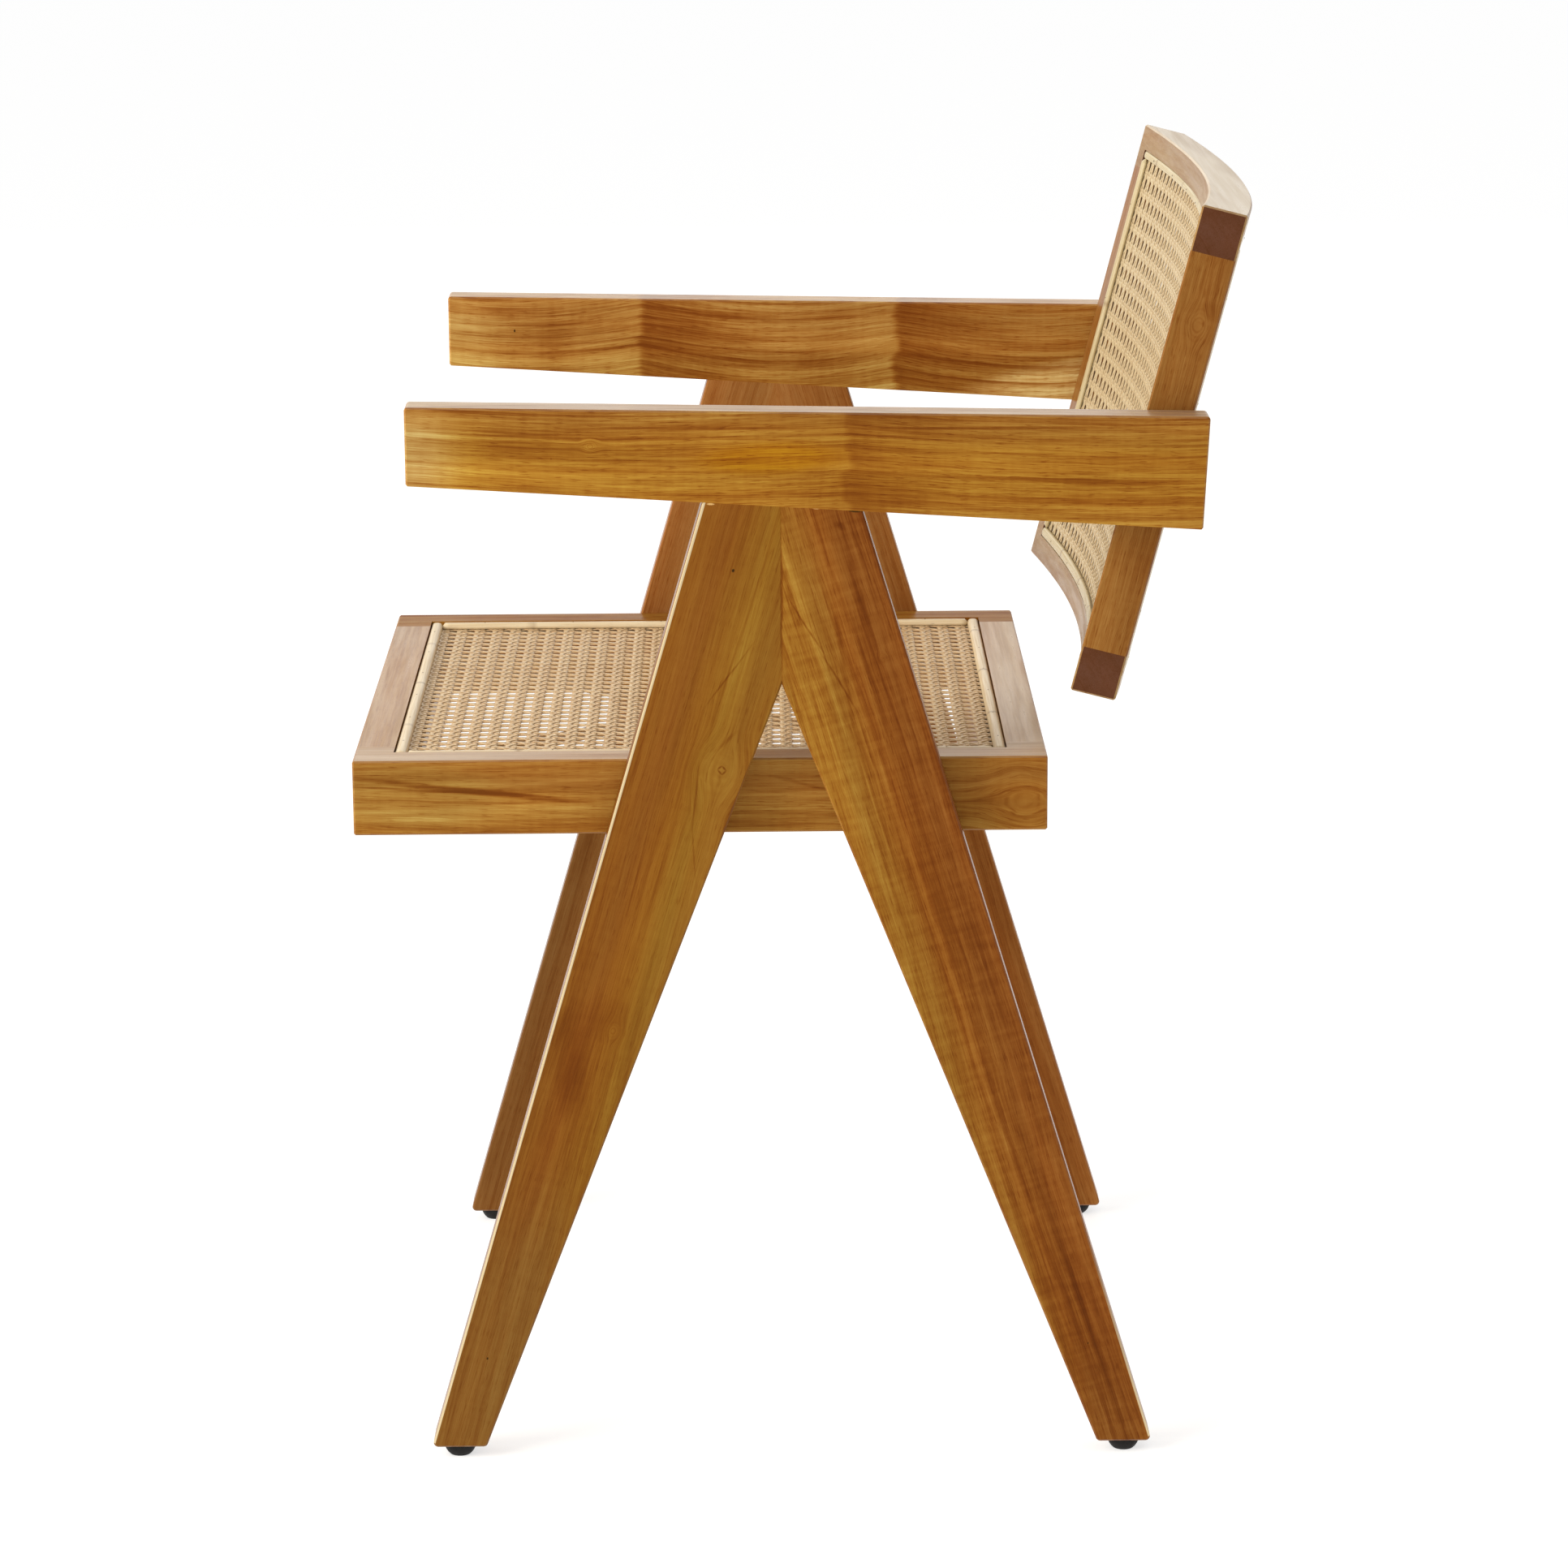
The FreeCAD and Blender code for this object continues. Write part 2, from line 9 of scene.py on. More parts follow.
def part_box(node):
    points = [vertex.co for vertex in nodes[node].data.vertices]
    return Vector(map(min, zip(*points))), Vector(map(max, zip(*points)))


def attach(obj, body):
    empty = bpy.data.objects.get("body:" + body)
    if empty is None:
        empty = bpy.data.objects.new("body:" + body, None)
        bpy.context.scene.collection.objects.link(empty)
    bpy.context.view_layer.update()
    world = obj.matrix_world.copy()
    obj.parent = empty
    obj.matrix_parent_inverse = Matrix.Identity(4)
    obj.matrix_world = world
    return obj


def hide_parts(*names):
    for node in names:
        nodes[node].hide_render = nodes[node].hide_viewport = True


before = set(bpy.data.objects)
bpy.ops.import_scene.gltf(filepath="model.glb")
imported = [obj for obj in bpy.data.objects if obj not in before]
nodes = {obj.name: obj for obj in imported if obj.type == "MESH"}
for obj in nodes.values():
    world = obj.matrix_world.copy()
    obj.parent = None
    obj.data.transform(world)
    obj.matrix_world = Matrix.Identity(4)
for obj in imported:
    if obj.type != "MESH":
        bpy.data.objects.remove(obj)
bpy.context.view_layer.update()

# Looks of a cane armchair: teak boards, woven cane, half-round beads, straps and glides.
# Metres and radians. The chair faces -Y, +Z is up, and +X is the sitter's left.
MM = 0.001
ACROSS = Vector((1, 0, 0))

# Side frames, as they are in the solids. A leg is its direction, its reach at the foot from the
# legs' seam, and its width under the arm.
HALF_WIDTH = 225 * MM
OUTER_FACE = 250 * MM
SEAM_Y = -17.7 * MM
LEG_TOP = 621.5 * MM
LEG_LENGTH = 613.5 * MM
FRONT_LEG = (-1, 228.5 * MM, 48.4 * MM)
REAR_LEG = (1, 234.9 * MM, 50.5 * MM)
ARM_MIDDLE = 645 * MM
ARM_FALL = 0.022  # drop of the arm's grain for each metre along it

# Seat frame, as it is in the solids
SEAT_FRONT = -287.8 * MM
SEAT_REAR = 149.2 * MM
SIDE_RAIL_MIDDLE = -69 * MM
RAIL_HEIGHT = 432.5 * MM

# Back frame, as it is in the solids
BACK_TILT = math.radians(14.6)
BACK_Y = 242.1 * MM
BACK_TOP = 802.7 * MM
BACK_LENGTH = 314 * MM
BOW_RADIUS = 1341.74 * MM
BOW_CENTRE = -1322.74 * MM
BACK_THICKNESS = 28.5 * MM
BACK_MARGIN = 16 * MM
BACK_REBATE = 4 * MM

# Cane weave. A pair is the distance from its middle to a strand's middle, and a strand's half width.
CANE_PITCH = 12.59 * MM
CANE_THICKNESS = 2 * MM
CANE_CLEARANCE = 0.3 * MM
SEAT_PAIR = (2.05 * MM, 1.55 * MM)
BACK_UPRIGHT_PAIR = (1.9 * MM, 1.95 * MM)
BACK_LEVEL_PAIR = (1.1 * MM, 1.1 * MM)
SEAT_DIAGONAL = 1.35 * MM  # a strand's half width
BACK_DIAGONAL = 1.0 * MM
STRAND_HALF_HEIGHT = 0.3 * MM
DIAGONAL_HALF_HEIGHT = 0.22 * MM
PAIR_RISE = 0.4 * MM
DIAGONAL_RISE = 0.5 * MM
DIAGONAL_STEPS = 6  # for each pitch
SAG_SHARES = ((0.32, -0.2), (0.68, 0.2))  # between crossings, of the pitch and of the rise
SEAT_PHASES = (0.5, 0.36)  # where a node of the weave lies from the panel's middle, in pitches
BACK_PHASES = (0.0, 0.0)

# Half-round beads
BEAD_RADIUS = 3.95 * MM
BACK_BEAD_RADIUS = 3.6 * MM
TOP_BEAD_RADIUS = 2.8 * MM  # the back panels' top beads are thinner
FRONT_BEAD_HEIGHT = 2.8 * MM
REAR_BEAD_HEIGHT = 2.2 * MM
BEAD_CLEARANCE = 0.1 * MM
BEAD_STEP = 3 * MM
BEAD_TURNS = 10
BEAD_FULLNESS = 0.75  # 1 is a half circle, and less is squarer
BEAD_END = 1.6 * MM  # length of a rounded end
BEAD_END_SHARE = 0.15  # of the radius, left at the very end
BEAD_BUTT_SHARE = 0.7  # of the radius, from a bead's middle line to the side bead that meets it
BEAD_SEEDS = {"seat": 12, "back_front": 30, "back_rear": 27}
FIRST_JOINT = (0.03, 0.08)  # least and most, from the bead's start
JOINT_SPACING = (0.09, 0.13)
JOINT_MARGIN = 20 * MM
JOINT_WIDTH = 1.6 * MM
JOINT_SWELL_SHARE = 0.02
BETWEEN_JOINTS_SHARE = 0.975

# Small fasteners
PIN_RADIUS = 0.6 * MM
PIN_HEIGHT = 0.25 * MM
PIN_SPACING = 68 * MM
PIN_SEAT_SHARE = 0.94  # of the bead's height
TACK_RADIUS = 3 * MM
TACK_HEIGHT = 1 * MM
TACK_LIFT = 7 * MM  # above the strap's lower end
TACK_INSET = 16.5 * MM  # from the strap's side to the middle of its two tacks
TACK_SPREAD = 6 * MM
STRAP_THICKNESS = 1.5 * MM
DOME_SIDES = 8
DOME_SHARES = ((1.0, 0.0), (0.9, 0.6), (0.5, 0.95))  # of the radius and of the height, ring by ring

random = np.random.default_rng(7)


# Shader trees. These are ranges of noise, each spread from nothing to everything
MIDDLE_NOISE = (0.35, 0.65)
MOST_NOISE = (0.3, 0.7)
HIGH_NOISE = (0.58, 0.72)


def rgb(code):
    """A linear colour from an sRGB hex code."""
    parts = [int(code[i:i + 2], 16) / 255 for i in (1, 3, 5)]
    linear = [p / 12.92 if p < 0.04045 else ((p + 0.055) / 1.055) ** 2.4 for p in parts]
    return (*linear, 1.0)


class Finish:
    """A material's node tree, with short ways to add the nodes used below."""

    def __init__(self, name, constants):
        self.material = bpy.data.materials.new(name)
        self.material.use_nodes = True
        self.tree = self.material.node_tree
        self.surface = self.tree.nodes["Principled BSDF"]
        for socket, value in constants.items():
            self.surface.inputs[socket].default_value = value

    def feed(self, socket, value):
        if isinstance(value, bpy.types.NodeSocket):
            self.tree.links.new(value, socket)
        else:
            socket.default_value = value

    def node(self, kind, inputs, output=0, **settings):
        node = self.tree.nodes.new(kind)
        for key, value in settings.items():
            setattr(node, key, value)
        for key, value in inputs.items():
            self.feed(node.inputs[key], value)
        return node.outputs[output]

    def math(self, operation, *values):
        return self.node("ShaderNodeMath", dict(enumerate(values)), operation=operation)

    def total(self, *values):
        result = values[0]
        for value in values[1:]:
            result = self.math("ADD", result, value)
        return result

    def noise(self, place, stretch, detail=2.0, roughness=0.5):
        """Noise that changes about so many times in a metre, in each of the three directions."""
        stretched = self.node("ShaderNodeVectorMath", {0: place, 1: stretch}, operation="MULTIPLY")
        return self.node("ShaderNodeTexNoise", {"Vector": stretched, "Scale": 1.0, "Detail": detail,
                                                "Roughness": roughness}, "Fac")

    def between(self, value, low, high, to_low=0.0, to_high=1.0, soft=True):
        """The value brought from one range into another, and kept inside it."""
        kind = "SMOOTHSTEP" if soft else "LINEAR"
        return self.node("ShaderNodeMapRange", {0: value, 1: low, 2: high, 3: to_low, 4: to_high},
                         interpolation_type=kind)

    def ramp(self, value, stops):
        """Colours at places from 0 to 1; a stop may be a hex code or a grey level."""
        output = self.node("ShaderNodeValToRGB", {"Fac": value})
        elements = output.node.color_ramp.elements
        while len(elements) < len(stops):
            elements.new(0.5)
        for element, (place, colour) in zip(elements, stops):
            element.position = place
            element.color = rgb(colour) if isinstance(colour, str) else (colour, colour, colour, 1.0)
        return output

    def mix(self, share, a, b, blend="MIX"):
        return self.node("ShaderNodeMix", {0: share, 6: a, 7: b}, 2, data_type="RGBA", blend_type=blend)

    def split(self, vector):
        output = self.node("ShaderNodeSeparateXYZ", {0: vector})
        return output.node.outputs

    def join(self, x, y, z):
        return self.node("ShaderNodeCombineXYZ", {0: x, 1: y, 2: z})

    def mapped(self, place, location=None, rotation=(0, 0, 0), scale=(1, 1, 1), kind="POINT"):
        inputs = {"Vector": place, "Rotation": rotation, "Scale": scale}
        if location is not None:
            inputs["Location"] = location
        return self.node("ShaderNodeMapping", inputs, vector_type=kind)

    def finish(self, colour, roughness, height, depth, strength):
        bump = self.node("ShaderNodeBump", {"Height": height, "Distance": depth, "Strength": strength})
        self.feed(self.surface.inputs["Base Color"], colour)
        self.feed(self.surface.inputs["Roughness"], roughness)
        self.feed(self.surface.inputs["Normal"], bump)
        return self.material


# Teak. Each board has its own grain frame: along the grain, across its face, and in from the face.
class Grain:
    def __init__(self, origin, along, face=ACROSS):
        along = Vector(along).normalized()
        face = Vector(face).normalized()
        self.rows = Matrix((along, face.cross(along), face))
        self.origin = Vector(origin)

    def local(self, point):
        return self.rows @ (Vector(point) - self.origin)


@dataclass
class Look:
    """How a board is figured, in mm. A place is (y, z), and strengths are shades, where 1 is dark."""
    tones: list  # colours across the face, as stops over the span
    span: tuple  # where across the face the stops begin and end
    pith: tuple = (0, -60)  # the tree's middle, across the face and in from it
    spacing: float = 5.0  # from one growth ring to the next
    taper: float = 0.01  # how fast the rings run out along the grain
    waver: float = 5.0  # how far the grain sways
    arch: tuple = ()  # grain in arches: a point's y, an arch's length, its rise
    lines: float = 0.7  # strength of the growth lines
    bands: float = 0.8  # strength of the bands between them
    shimmer: float = 0.2  # strength of the rays across the grain
    streaks: float = 1.2  # strength of the streaks along it
    contrast: float = 0.6  # a share of all the strengths
    gloss: float = 0.5
    painted_top_reflection: float = 0.4  # how much a painted reflection pales an upper face
    edge: str = ""  # colour of a painted highlight along an arris
    marks: tuple = ()  # from a place to a place: half width, then a shade or a colour
    knots: tuple = ()  # at a place: radius, strength
    flares: tuple = ()  # at a y: reach, darker behind, paler before


LINE_PROFILE = [(0.0, 0.0), (0.45, 0.05), (0.78, 0.4), (0.92, 1.0), (1.0, 0.0)]
KNOT_PROFILE = [(0.0, 0.3), (0.16, 0.1), (0.3, 0.75), (0.42, 0.0), (0.6, 0.3), (0.7, 0.0), (0.86, 0.25),
                (1.0, 0.0)]
LINE_FADE = (0.16, 0.42)
PALEST, DARKEST = -0.7, 1.4  # shades go no further
PALE_SHARE = 0.65  # paler grain differs less than darker grain
SHADED = (0.52, 0.30, 0.16)  # what a full shade leaves of red, green and blue
RUDDY = (1.03, 0.98, 0.93, 1.0)
YELLOWED = (0.98, 1.0, 1.03, 1.0)
END_GRAIN = (0.28, 0.155, 0.26, 1.0)
LACQUER_TINT = (0.80, 0.45, 0.12, 1.0)
# Colour of the painted reflection on upper faces
PAINTED_REFLECTION_COLOUR = "#CBBBA2"
HOLE = "#1E0E05"
FILLER = "#C29E66"
ARRIS_WIDTH = 1.1 * MM
PORE_DEPTH = 0.08 * MM
DRAWN_WAVER = 1.2 * MM  # how far a mark's edge strays
FLARE_WAVER = 13 * MM
FLARE_EDGE = (-4 * MM, 3 * MM)
LACQUER_ROUGHNESS = (0.27, 0.4)

# Where marks fade, in shares of their ellipse, and knots, in shares of their radius
TINT_EDGE = (0.5, 1.2)
SHADE_EDGE = (0.2, 1.25)
KNOT_STRETCH = 1.3  # longer along the grain
KNOT_ROUGHNESS = 0.9
KNOT_RINGS_REACH = 1.9
KNOT_PULL = 0.9
KNOT_PULL_REACH = (0.4, 3.4)
KNOT_HALO = -0.3
KNOT_HALO_REACH = (0.3, 2.2)

# How far a face turns along the grain to show end grain, and upwards to take the painted reflection
END_FACING = (0.8, 0.97)
TOP_FACING = (0.6, 0.95)
PATCH_RANGE = (0.65, 1.3)

# Strengths of what every board has
FIBRE_SHADE = 0.8
MOTTLE_SHADE = 0.7
DASH_SHADE = 0.55

# Changes in a metre, along the grain and across it
FINE = (14, 80, 80)
SWAY = (3.1, 17, 17)
BEND = (4, 55, 55)
FADE = (9, 60, 60)
STREAKS = (7, 230, 230)
FIBRES = (32, 1500, 1500)
DASHES = (100, 1300, 1300)
MOTTLE = (5, 26, 26)
RAYS = (190, 42, 42)
HUES = (4, 45, 45)
PATCHES = (5, 30, 30)


class Board(Finish):
    """Lacquered teak, painted in the board's own grain frame."""

    def __init__(self, name, grain, look):
        super().__init__(name, {"Specular IOR Level": look.gloss, "Specular Tint": LACQUER_TINT})
        self.grain = grain
        self.look = look
        self.rotation = grain.rows.to_euler()
        coordinates = self.node("ShaderNodeTexCoord", {}, "Object")
        self.place = self.mapped(coordinates, -(grain.rows @ grain.origin), self.rotation)
        self.u, self.v, self.w = self.split(self.place)
        self.face_v = self.v
        self.fine = self.noise(self.place, FINE, 2.0)
        self.shades = []
        self.tints = []

    def local(self, y, z):
        return self.grain.local((self.grain.origin.x, y * MM, z * MM))

    def swing(self, value, size):
        """A noise value turned into a shade either side of nothing."""
        return self.math("MULTIPLY_ADD", value, 2 * size, -size)

    def station(self, y):
        """How far along the grain a board is at y."""
        return self.grain.local((self.grain.origin.x, y * MM, self.grain.origin.z))[0]

    def around(self, point, middle, half_length, half_width, turn=0.0):
        """A place relative to an ellipse, whose edge is at a distance of 1."""
        return self.mapped(point, middle, (0, 0, turn), (half_length, half_width, 1.0), "TEXTURE")

    def length(self, vector):
        return self.node("ShaderNodeVectorMath", {0: vector}, "Value", operation="LENGTH")

    def waver(self, size):
        broad = self.noise(self.place, SWAY, 1.0)
        self.v = self.total(self.v, self.swing(broad, size), self.swing(self.fine, 0.15 * size))

    def arch(self, y, length, rise):
        """Grain that rises and falls in arches along the board, with a point at y."""
        start = self.station(y)
        length = length * MM
        phase = self.math("MULTIPLY_ADD", self.u, math.pi / length, -start * math.pi / length)
        height = self.math("MULTIPLY", self.math("ABSOLUTE", self.math("SINE", phase)), rise * MM)
        self.v = self.total(self.v, height)

    def knot(self, y, z, radius, strength):
        around = self.around(self.place, self.local(y, z), KNOT_STRETCH * radius * MM, radius * MM)
        distance = self.total(self.length(around), self.swing(self.fine, KNOT_ROUGHNESS))
        pull = self.between(distance, *KNOT_PULL_REACH, -KNOT_PULL * radius * MM, 0.0)
        self.v = self.total(self.v, self.math("MULTIPLY", self.split(around)[1], pull))
        rings = self.ramp(self.between(distance, 0.0, KNOT_RINGS_REACH, soft=False), KNOT_PROFILE)
        self.shades.append(self.math("MULTIPLY", rings, strength))
        self.shades.append(self.between(distance, *KNOT_HALO_REACH, KNOT_HALO, 0.0))

    def mark(self, point, y, z, end_y, end_z, half_width, shade):
        """A streak or patch between two places; shade is a darkening or a colour."""
        start, end = self.local(y, z), self.local(end_y, end_z)
        run = end - start
        distance = self.length(self.around(point, (start + end) / 2, run.length / 2, half_width * MM,
                                           math.atan2(run.y, run.x)))
        if isinstance(shade, str):
            self.tints.append((self.between(distance, *TINT_EDGE, 1.0, 0.0), shade))
        else:
            self.shades.append(self.between(distance, *SHADE_EDGE, shade, 0.0))

    def flare(self, y, reach, darker, paler):
        """Darker grain behind a sharp turn of the figure at y, and paler grain before it."""
        bend = self.noise(self.place, BEND, 4.0, 0.6)
        past = self.total(self.u, self.swing(bend, FLARE_WAVER), -self.station(y))
        turn = self.between(past, *FLARE_EDGE)
        dark = self.math("MULTIPLY", turn, self.between(past, 0.0, reach * MM, darker, 0.0, soft=False))
        pale = self.between(past, -0.5 * reach * MM, 0.0, 0.0, -paler)
        self.shades += [dark, self.math("MULTIPLY", pale, self.math("SUBTRACT", 1.0, turn))]

    def growth(self):
        """Growth rings cut by the face: thin dark lines that fade, and broad bands."""
        look = self.look
        dv = self.math("SUBTRACT", self.v, look.pith[0] * MM)
        dw = self.math("SUBTRACT", self.w, look.pith[1] * MM)
        reach = self.math("SQRT", self.total(self.math("MULTIPLY", dv, dv), self.math("MULTIPLY", dw, dw)))
        rings = self.math("DIVIDE", self.math("MULTIPLY_ADD", self.u, look.taper, reach), look.spacing * MM)
        line = self.ramp(self.math("FRACT", rings), LINE_PROFILE)
        vary = self.ring_noise(rings, 0.83, 1.0, 0.5)
        left = self.math("MULTIPLY", vary, self.noise(self.place, FADE, 1.0))
        line = self.math("MULTIPLY", line, self.between(left, *LINE_FADE))
        self.shades.append(self.math("MULTIPLY", line, look.lines))
        self.shades.append(self.swing(self.ring_noise(rings, 0.37, 4.0, 0.75), look.bands))

    def ring_noise(self, rings, scale, detail, roughness):
        """Noise that changes from ring to ring."""
        return self.node("ShaderNodeTexNoise", {"W": rings, "Scale": scale, "Detail": detail,
                                                "Roughness": roughness}, "Fac", noise_dimensions="1D")

    def figure(self):
        """Bends the grain, draws the look's marks, and adds the growth rings."""
        look = self.look
        self.waver(look.waver * MM)
        if look.arch:
            self.arch(*look.arch)
        for knot in look.knots:
            self.knot(*knot)
        drawn = self.join(self.u, self.total(self.face_v, self.swing(self.fine, DRAWN_WAVER)), self.w)
        for mark in look.marks:
            self.mark(drawn, *mark)
        for flare in look.flares:
            self.flare(*flare)
        self.growth()

    def texture(self):
        """Adds streaks, fibres, mottle, dashes and rays. The surface follows what it gives back."""
        warped = self.join(self.u, self.v, self.w)
        streak = self.noise(warped, STREAKS, 4.0, 0.65)
        fibre = self.noise(warped, FIBRES, 2.0)
        mottle = self.noise(self.place, MOTTLE, 3.0)
        dash = self.between(self.noise(warped, DASHES, 1.0), *HIGH_NOISE)
        ray = self.noise(self.place, RAYS, 2.0)
        self.shades += [
            self.swing(streak, self.look.streaks), self.swing(fibre, FIBRE_SHADE),
            self.swing(mottle, MOTTLE_SHADE), self.math("MULTIPLY", dash, DASH_SHADE),
            self.swing(ray, self.look.shimmer)]
        return streak, fibre, dash

    def shaded(self, colour):
        shade = self.math("MULTIPLY", self.total(*self.shades), self.look.contrast)
        shade = self.math("MAXIMUM", shade, self.math("MULTIPLY", shade, PALE_SHARE))
        shade = self.between(shade, PALEST, DARKEST, PALEST, DARKEST, soft=False)
        left = self.join(*(self.math("POWER", share, shade) for share in SHADED))
        return self.mix(1.0, colour, left, "MULTIPLY")

    def body_colour(self):
        """The tones across the face, tinted, with a drift of hue, then shaded."""
        low, high = self.look.span
        colour = self.ramp(self.between(self.v, low * MM, high * MM, soft=False), self.look.tones)
        for share, tint in self.tints:
            colour = self.mix(share, colour, rgb(tint))
        hue = self.between(self.noise(self.place, HUES, 2.0), *MIDDLE_NOISE)
        colour = self.mix(1.0, colour, self.mix(hue, RUDDY, YELLOWED), "MULTIPLY")
        return self.shaded(colour)

    def with_ends(self, colour):
        """The colour with end grain, a patchy painted reflection on upper faces, and painted highlights on
        arrises.
        """
        facing = self.node("ShaderNodeTexCoord", {}, "Normal")
        along = self.split(self.mapped(facing, None, self.rotation, kind="VECTOR"))[0]
        end = self.between(self.math("ABSOLUTE", along), *END_FACING)
        colour = self.mix(end, colour, self.mix(1.0, colour, END_GRAIN, "MULTIPLY"))
        # Painted reflection: upper faces are paled in patches, as a lamp's reflection pales them
        top = self.between(self.split(facing)[2], *TOP_FACING, 0.0, self.look.painted_top_reflection)
        patches = self.between(self.noise(self.place, PATCHES, 2.0), *MIDDLE_NOISE, *PATCH_RANGE)
        colour = self.mix(self.math("MULTIPLY", top, patches), colour, rgb(PAINTED_REFLECTION_COLOUR))
        # Painted highlight: a pale line along the board's arris, where a lamp would glint
        if self.look.edge:
            depth = self.total(self.math("ABSOLUTE", self.face_v), self.math("ABSOLUTE", self.w))
            arris = self.between(depth, ARRIS_WIDTH, 1.25 * ARRIS_WIDTH, 1.0, 0.0)
            colour = self.mix(arris, colour, rgb(self.look.edge))
        return colour


def teak(name, grain, look):
    """Material of a teak board."""
    board = Board(name, grain, look)
    board.figure()
    streak, fibre, dash = board.texture()
    colour = board.with_ends(board.body_colour())
    height = board.total(fibre, board.math("MULTIPLY", dash, -1.0))
    roughness = board.between(streak, *MOST_NOISE, *LACQUER_ROUGHNESS)
    return board.finish(colour, roughness, height, PORE_DEPTH, 0.25)


# Other finishes
CANE_GRAIN = (40.0, 2.2, 90.0)  # changes along a strand in a metre, across it, and between strands
RATTAN_GRAIN = (18.0, 5.0, 0.0)
RATTAN_SPECKS = (162.0, 45.0, 0.0)
CANE_EDGE = (0.55, 0.38, 0.26, 1.0)
RATTAN_JOINT = "#7C5A30"
RATTAN_CRACK = "#5E4020"


def strand_places(finish):
    """What each point of a strand or bead carries: its length, its place across, and a third number."""
    return finish.node("ShaderNodeAttribute", {}, "Vector", attribute_name="strand")


def cane_finish(name, light, dark, glow):
    """Split cane with a painted glow of its light colour, as strong as glow. The third number is the strand's
    own tone.
    """
    f = Finish(name, {"Specular IOR Level": 0.35, "Emission Color": rgb(light), "Emission Strength": glow})
    places = strand_places(f)
    across, tone = f.split(places)[1:]
    streak = f.noise(places, CANE_GRAIN, 3.0)
    share = f.total(f.math("MULTIPLY", streak, 0.7), f.math("MULTIPLY", tone, 0.55), -0.2)
    colour = f.mix(f.between(share, 0.0, 1.0, soft=False), rgb(light), rgb(dark))
    edge = f.between(f.math("ABSOLUTE", across), 0.6, 1.0, 0.0, 0.45)
    colour = f.mix(edge, colour, f.mix(1.0, colour, CANE_EDGE, "MULTIPLY"))
    return f.finish(colour, f.between(streak, *MOST_NOISE, 0.34, 0.5), streak, 0.05 * MM, 0.3)


def bead_finish(name, light, dark):
    """Half-round rattan: long streaks, darker joints and fine cracks. The third number marks a joint."""
    f = Finish(name, {"Specular IOR Level": 0.4})
    places = strand_places(f)
    joint = f.split(places)[2]
    streak = f.noise(places, RATTAN_GRAIN, 4.0)
    colour = f.mix(f.between(streak, 0.3, 0.75), rgb(light), rgb(dark))
    colour = f.mix(f.math("MULTIPLY", joint, 0.65), colour, rgb(RATTAN_JOINT))
    speck = f.noise(places, RATTAN_SPECKS, 1.0)
    colour = f.mix(f.between(speck, 0.68, 0.76, 0.0, 0.5), colour, rgb(RATTAN_CRACK))
    return f.finish(colour, f.between(streak, *MOST_NOISE, 0.28, 0.42), streak, 0.05 * MM, 0.25)


def webbing_finish():
    """Flat woven webbing, with ribs across it."""
    f = Finish("webbing", {"Specular IOR Level": 0.2})
    place = f.node("ShaderNodeTexCoord", {}, "Object")
    weave = f.node("ShaderNodeTexChecker", {"Vector": place, "Scale": 700.0}, "Fac")
    wear = f.noise(place, (60, 60, 60), 3.0)
    colour = f.mix(wear, rgb("#C29C68"), rgb("#A07C4C"))
    colour = f.mix(f.math("MULTIPLY", weave, 0.25), colour, rgb("#6A4A28"))
    return f.finish(colour, f.between(wear, 0.2, 0.8, 0.75, 0.95), weave, 0.15 * MM, 0.5)


def plain_finish(name, light, dark, low, high, scale, metallic=0.0, specular=0.5):
    """A plain moulded or drawn surface with a faint mottle; its roughness goes from low to high."""
    f = Finish(name, {"Metallic": metallic, "Specular IOR Level": specular})
    place = f.node("ShaderNodeTexCoord", {}, "Object")
    mottle = f.noise(place, (scale, scale, scale), 3.0)
    return f.finish(f.mix(mottle, rgb(light), rgb(dark)), f.between(mottle, *MOST_NOISE, low, high),
                    mottle, 0.03 * MM, 0.2)


